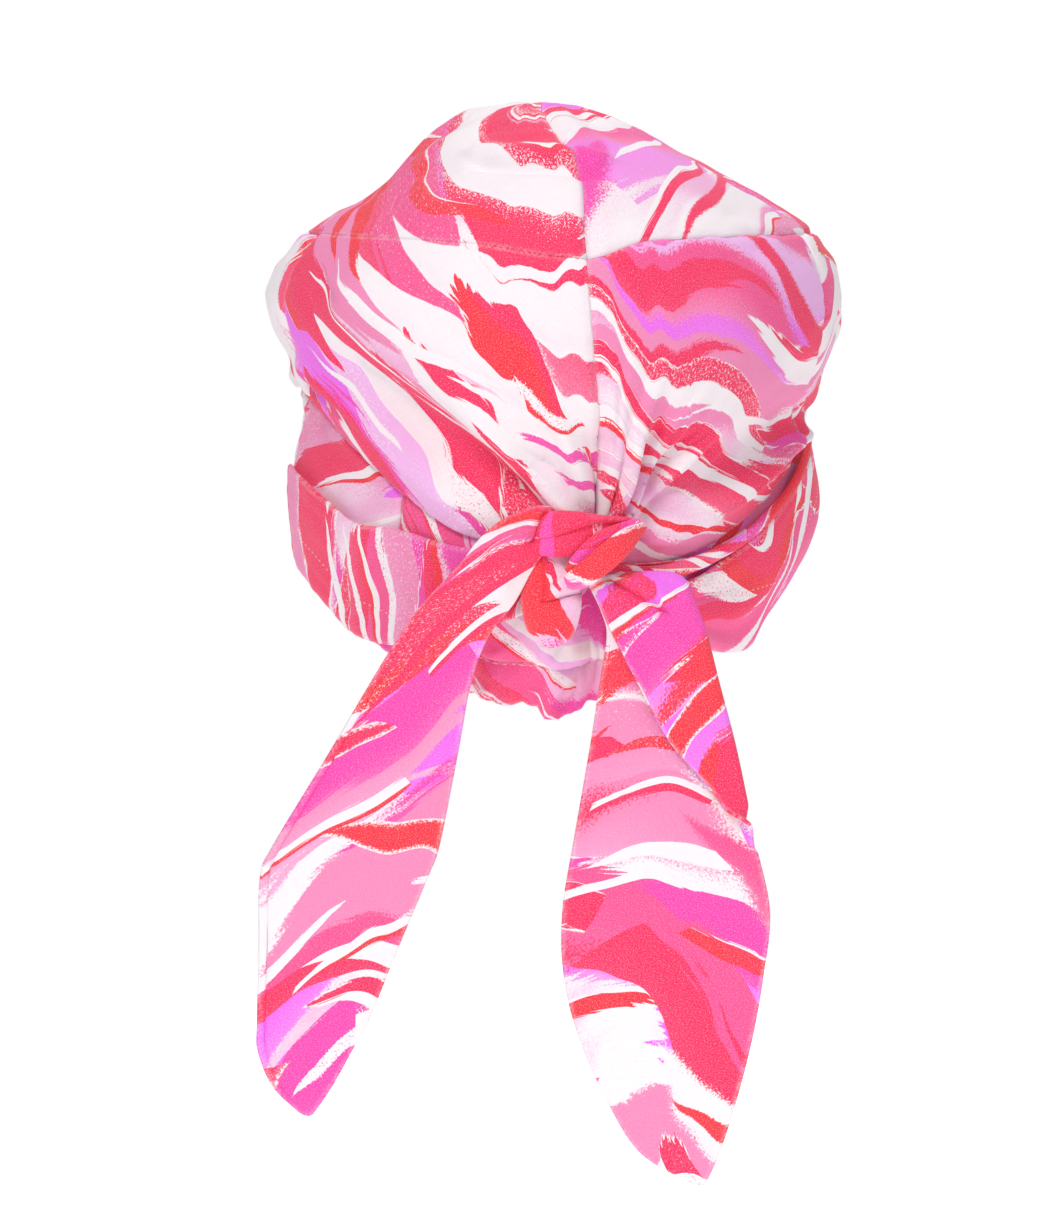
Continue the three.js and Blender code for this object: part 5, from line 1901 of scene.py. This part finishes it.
@dataclass
class Tails(Group):
    """The two free ends that hang from the knot."""

    left_length: float = 190
    right_length: float = 200
    calm: tuple[float, float] = (0.1, 0.4)  # shares of a tail from the knot, over which waves begin
    seam: tuple[float, float, float] = (2.2, 0.6, 0.7)  # line beside the left edge: place, width, depth
    seam_start: tuple[float, float] = (55, 90)  # distances down over which that line begins
    seam_end: tuple[float, float] = (4, 9)  # and half-widths of the tail over which it ends
    edge_fineness: float = 0.6  # how far the left tail's squares crowd towards its edges
    turn_radius: float = 1.5  # of the right tail's folded edge
    turn_flatness: float = 0.4  # that is left of the turn where the flap has ended
    turn_opening: tuple[float, float] = (1.5, 6)  # widths of the flap between which it folds over
    flat_share: float = 0.6  # of the right tail's columns, before the turn
    turn_share: float = 0.75  # and up to its end

    def hung(
        self, middle: tuple, across: Array, side: Array, tilt: Array, curl: Array, down: Array, seed: int
    ) -> Array:
        """Hangs a strip from its middle line, with slight waves.

        Args:
            middle: The three coordinates of the middle line at each point.
            across: Distance of each point from it.
            side: The same as a share of the half-width.
            tilt: Degrees by which the rows slope.
            curl: How far the edges bend towards the head.
            down: Distance from the knot.
            seed: Of the waves.

        Returns:
            The points.
        """
        x, y, z = middle
        creases = soft_noise(across / 9, down / 55, seed) * 0.9
        rolls = soft_noise(across / 30 + 2, down / 34, seed + 1) * 1.3
        begun = smooth_step(down / down.max(), *self.calm)
        y = y + curl * side * side + (creases + rolls) * begun
        slope = np.radians(tilt)
        return np.stack((x + np.cos(slope) * across, y, z + np.sin(slope) * across), -1)

    def left(self) -> ClothGrid:
        """Hangs the left tail, flat with its edges curling towards the head.

        Returns:
            Its middle surface.
        """
        u, v = unit_square(60, 190)
        u = (1 - self.edge_fineness) * u + self.edge_fineness * smooth_step(u, 0, 1)
        x, y, z, half, tilt, curl, _ = np.moveaxis(read_path(TAIL_LEFT, 1 - v), -1, 0)
        side = 2 * u - 1
        points = self.hung((x, y, z), side * half, side, tilt, curl, (1 - v) * self.left_length, 91)
        points[..., 1] -= crease_height(points[..., 0], points[..., 2], TAIL_LEFT_CREASES)
        from_edge, down = u * 2 * half, (1 - v) * self.left_length
        place, width, depth = self.seam
        seam = np.exp(-(((from_edge - place) / width) ** 2)) * smooth_step(down, *self.seam_start)
        points[..., 1] += depth * seam * smooth_step(half, *self.seam_end)
        return ClothGrid(points)

    def right(self) -> ClothGrid:
        """Hangs the right tail, its right edge folded to the outside near the knot.

        Returns:
            Its middle surface.
        """
        u, v = unit_square(100, 200)
        x, y, z, half, tilt, curl, flap = np.moveaxis(read_path(TAIL_RIGHT, 1 - v), -1, 0)
        opened = smooth_step(flap, *self.turn_opening)
        bend = np.pi * opened
        flat_width = flap + self.turn_flatness * self.turn_radius
        turn_at = half - self.turn_radius * opened - flat_width * (1 - opened)
        back_x = -half + (turn_at + half) * u / self.flat_share
        turned = np.clip((u - self.flat_share) / (self.turn_share - self.flat_share), 0, 1)
        flap_length = np.clip((u - self.turn_share) / (1 - self.turn_share), 0, 1) * flap
        turning = np.where(opened > 0, np.sin(bend * turned), turned * self.turn_flatness)
        turn_x = turn_at + self.turn_radius * turning
        turn_y = -self.turn_radius * (1 - np.cos(bend * turned))
        across = np.where(u <= self.flat_share, back_x, turn_x + np.cos(bend) * flap_length)
        forward = np.where(u <= self.flat_share, 0, turn_y - np.sin(bend) * flap_length)
        side = np.clip(across / half, -1, 1)
        points = self.hung((x, y, z), across, side, tilt, curl, (1 - v) * self.right_length, 95)
        points[..., 1] += forward
        points[..., 1] -= crease_height(points[..., 0], points[..., 2], TAIL_RIGHT_CREASES)
        return ClothGrid(points)

    def grids(self) -> dict[str, ClothGrid]:
        """The two tails."""
        return {"tail_left": self.left(), "tail_right": self.right()}


# ---- Studio ------------------------------------------------------------------------------------


@dataclass(frozen=True)
class Studio:
    """A plain pale floor in a white room, soft lights and the camera straight behind the head."""

    elevation: float = 4.0
    distance: float = 2.5
    image_height: int = 1228
    scale: float = 0.00032  # metres across one step of the image at the origin's distance
    aim: tuple[float, float] = (-0.0082, -0.0237)  # middle of the view, to the right and up
    floor_height: float = -0.26
    floor_radius: float = 1.1
    floor_glow: float = 0.5  # of the lit paper itself
    room_radius: float = 14.0

    def camera(self) -> bpy.types.Object:
        """Makes the camera and sets it as the scene's.

        Returns:
            The camera.
        """
        tilt = math.radians(self.elevation)
        right, up = self.aim
        back = Vector((0, -math.cos(tilt), math.sin(tilt)))
        rise = Vector((0, math.sin(tilt), math.cos(tilt)))
        place = back * self.distance + Vector((1, 0, 0)) * right + rise * up
        bpy.ops.object.camera_add(location=place, rotation=(math.radians(90) - tilt, 0, 0))
        camera = bpy.context.object
        camera.name = "back_view_camera"
        camera.data.sensor_width = 36
        camera.data.lens = 36 * self.distance / (self.image_height * self.scale)
        camera.data.clip_start = 0.05
        camera.data.clip_end = 50
        bpy.context.scene.camera = camera
        return camera

    def floor(self) -> bpy.types.Object:
        """Makes the plain pale floor below the hanging tails.

        Returns:
            The floor.
        """
        bpy.ops.object.select_all(action="DESELECT")
        bpy.ops.mesh.primitive_circle_add(vertices=96, radius=self.floor_radius, fill_type="NGON")
        floor = bpy.context.object
        floor.name = "studio_floor"
        floor.location = (0, 0, self.floor_height)
        sketch = NodeSketch("white_floor_paper")
        place = sketch.read("ShaderNodeTexCoord", output="Object")
        tooth = sketch.read("ShaderNodeTexNoise", None, {"Vector": place, "Scale": 60.0})
        inputs = {
            "Base Color": sketch.mix(tooth, (0.93, 0.93, 0.93, 1), (0.96, 0.96, 0.96, 1)),
            "Roughness": 0.9,
            "Emission Color": (1, 1, 1, 1),
            "Emission Strength": self.floor_glow,
        }
        floor.data.materials.append(sketch.finish("ShaderNodeBsdfPrincipled", inputs))
        floor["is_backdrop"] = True
        return floor

    def surroundings(self) -> bpy.types.Object:
        """Makes the white room all round, which is seen but sheds no light of its own.

        Returns:
            The room.
        """
        bpy.ops.object.select_all(action="DESELECT")
        bpy.ops.mesh.primitive_uv_sphere_add(segments=32, ring_count=16, radius=self.room_radius)
        room = bpy.context.object
        room.name = "white_room"
        for ray in ("diffuse", "glossy", "transmission", "shadow"):
            setattr(room, f"visible_{ray}", False)
        glow = {"Color": (1, 1, 1, 1), "Strength": 1.0}
        room.data.materials.append(NodeSketch("white_room_wall").finish("ShaderNodeEmission", glow))
        room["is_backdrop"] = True
        return room

    @staticmethod
    def softbox(name: str, place: tuple, target: tuple, size: tuple[float, float], power: float) -> None:
        """Adds one large soft light.

        Args:
            name: Its name.
            place: Where it stands.
            target: What it is turned to.
            size: Its width and height.
            power: In watts.
        """
        direction = Vector(target) - Vector(place)
        turn = direction.to_track_quat("-Z", "Y").to_euler()
        bpy.ops.object.light_add(type="AREA", location=place, rotation=turn)
        light = bpy.context.object
        light.name = name
        light.data.shape = "RECTANGLE"
        light.data.size, light.data.size_y = size
        light.data.energy = power

    def lights(self) -> None:
        """Adds the soft lights and the pale surroundings."""
        self.softbox("key_softbox", (-0.9, -1.9, 1.8), (0, 0, 0), (0.9, 0.9), 34)
        self.softbox("fill_softbox", (1.6, -1.7, 0.5), (0, 0, -0.02), (1.4, 1.8), 10)
        self.softbox("top_softbox", (0, -0.2, 1.7), (0, 0, 0), (2.0, 1.6), 12)
        self.softbox("front_softbox", (0.5, 2.3, 1.3), (0, 0, 0), (1.8, 1.8), 22)
        world = bpy.data.worlds.new("pale_room")
        world.use_nodes = True
        background = world.node_tree.nodes["Background"]
        background.inputs["Color"].default_value = (1, 1, 1, 1)
        background.inputs["Strength"].default_value = 0.22
        bpy.context.scene.world = world

    def build(self) -> None:
        """Sets up the whole studio."""
        self.camera()
        self.floor()
        self.surroundings()
        self.lights()
        bpy.context.scene.view_settings.view_transform = "Standard"


def main() -> None:
    """Builds the studio and every piece of the turban, and reports them."""
    logging.basicConfig(level=logging.INFO, format="%(message)s")
    low, high = CAD_BOX
    form = WornForm(unit=(high[2] - low[2]) / DESIGN_HEIGHT)
    Studio().build()
    cotton = PrintedCotton()
    thread = SewingThread()
    pieces = []
    for group in (Crown, Band, Ties, Knot, Tails):
        pieces += group(form, cotton, thread).build()
    log.info("%d pieces, %d faces in all", len(pieces), sum(len(p.data.polygons) for p in pieces))
    boxes = {"cad": [list(corner) for corner in CAD_BOX], "visual": [list(corner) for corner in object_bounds()]}


if __name__ == "__main__":
    main()
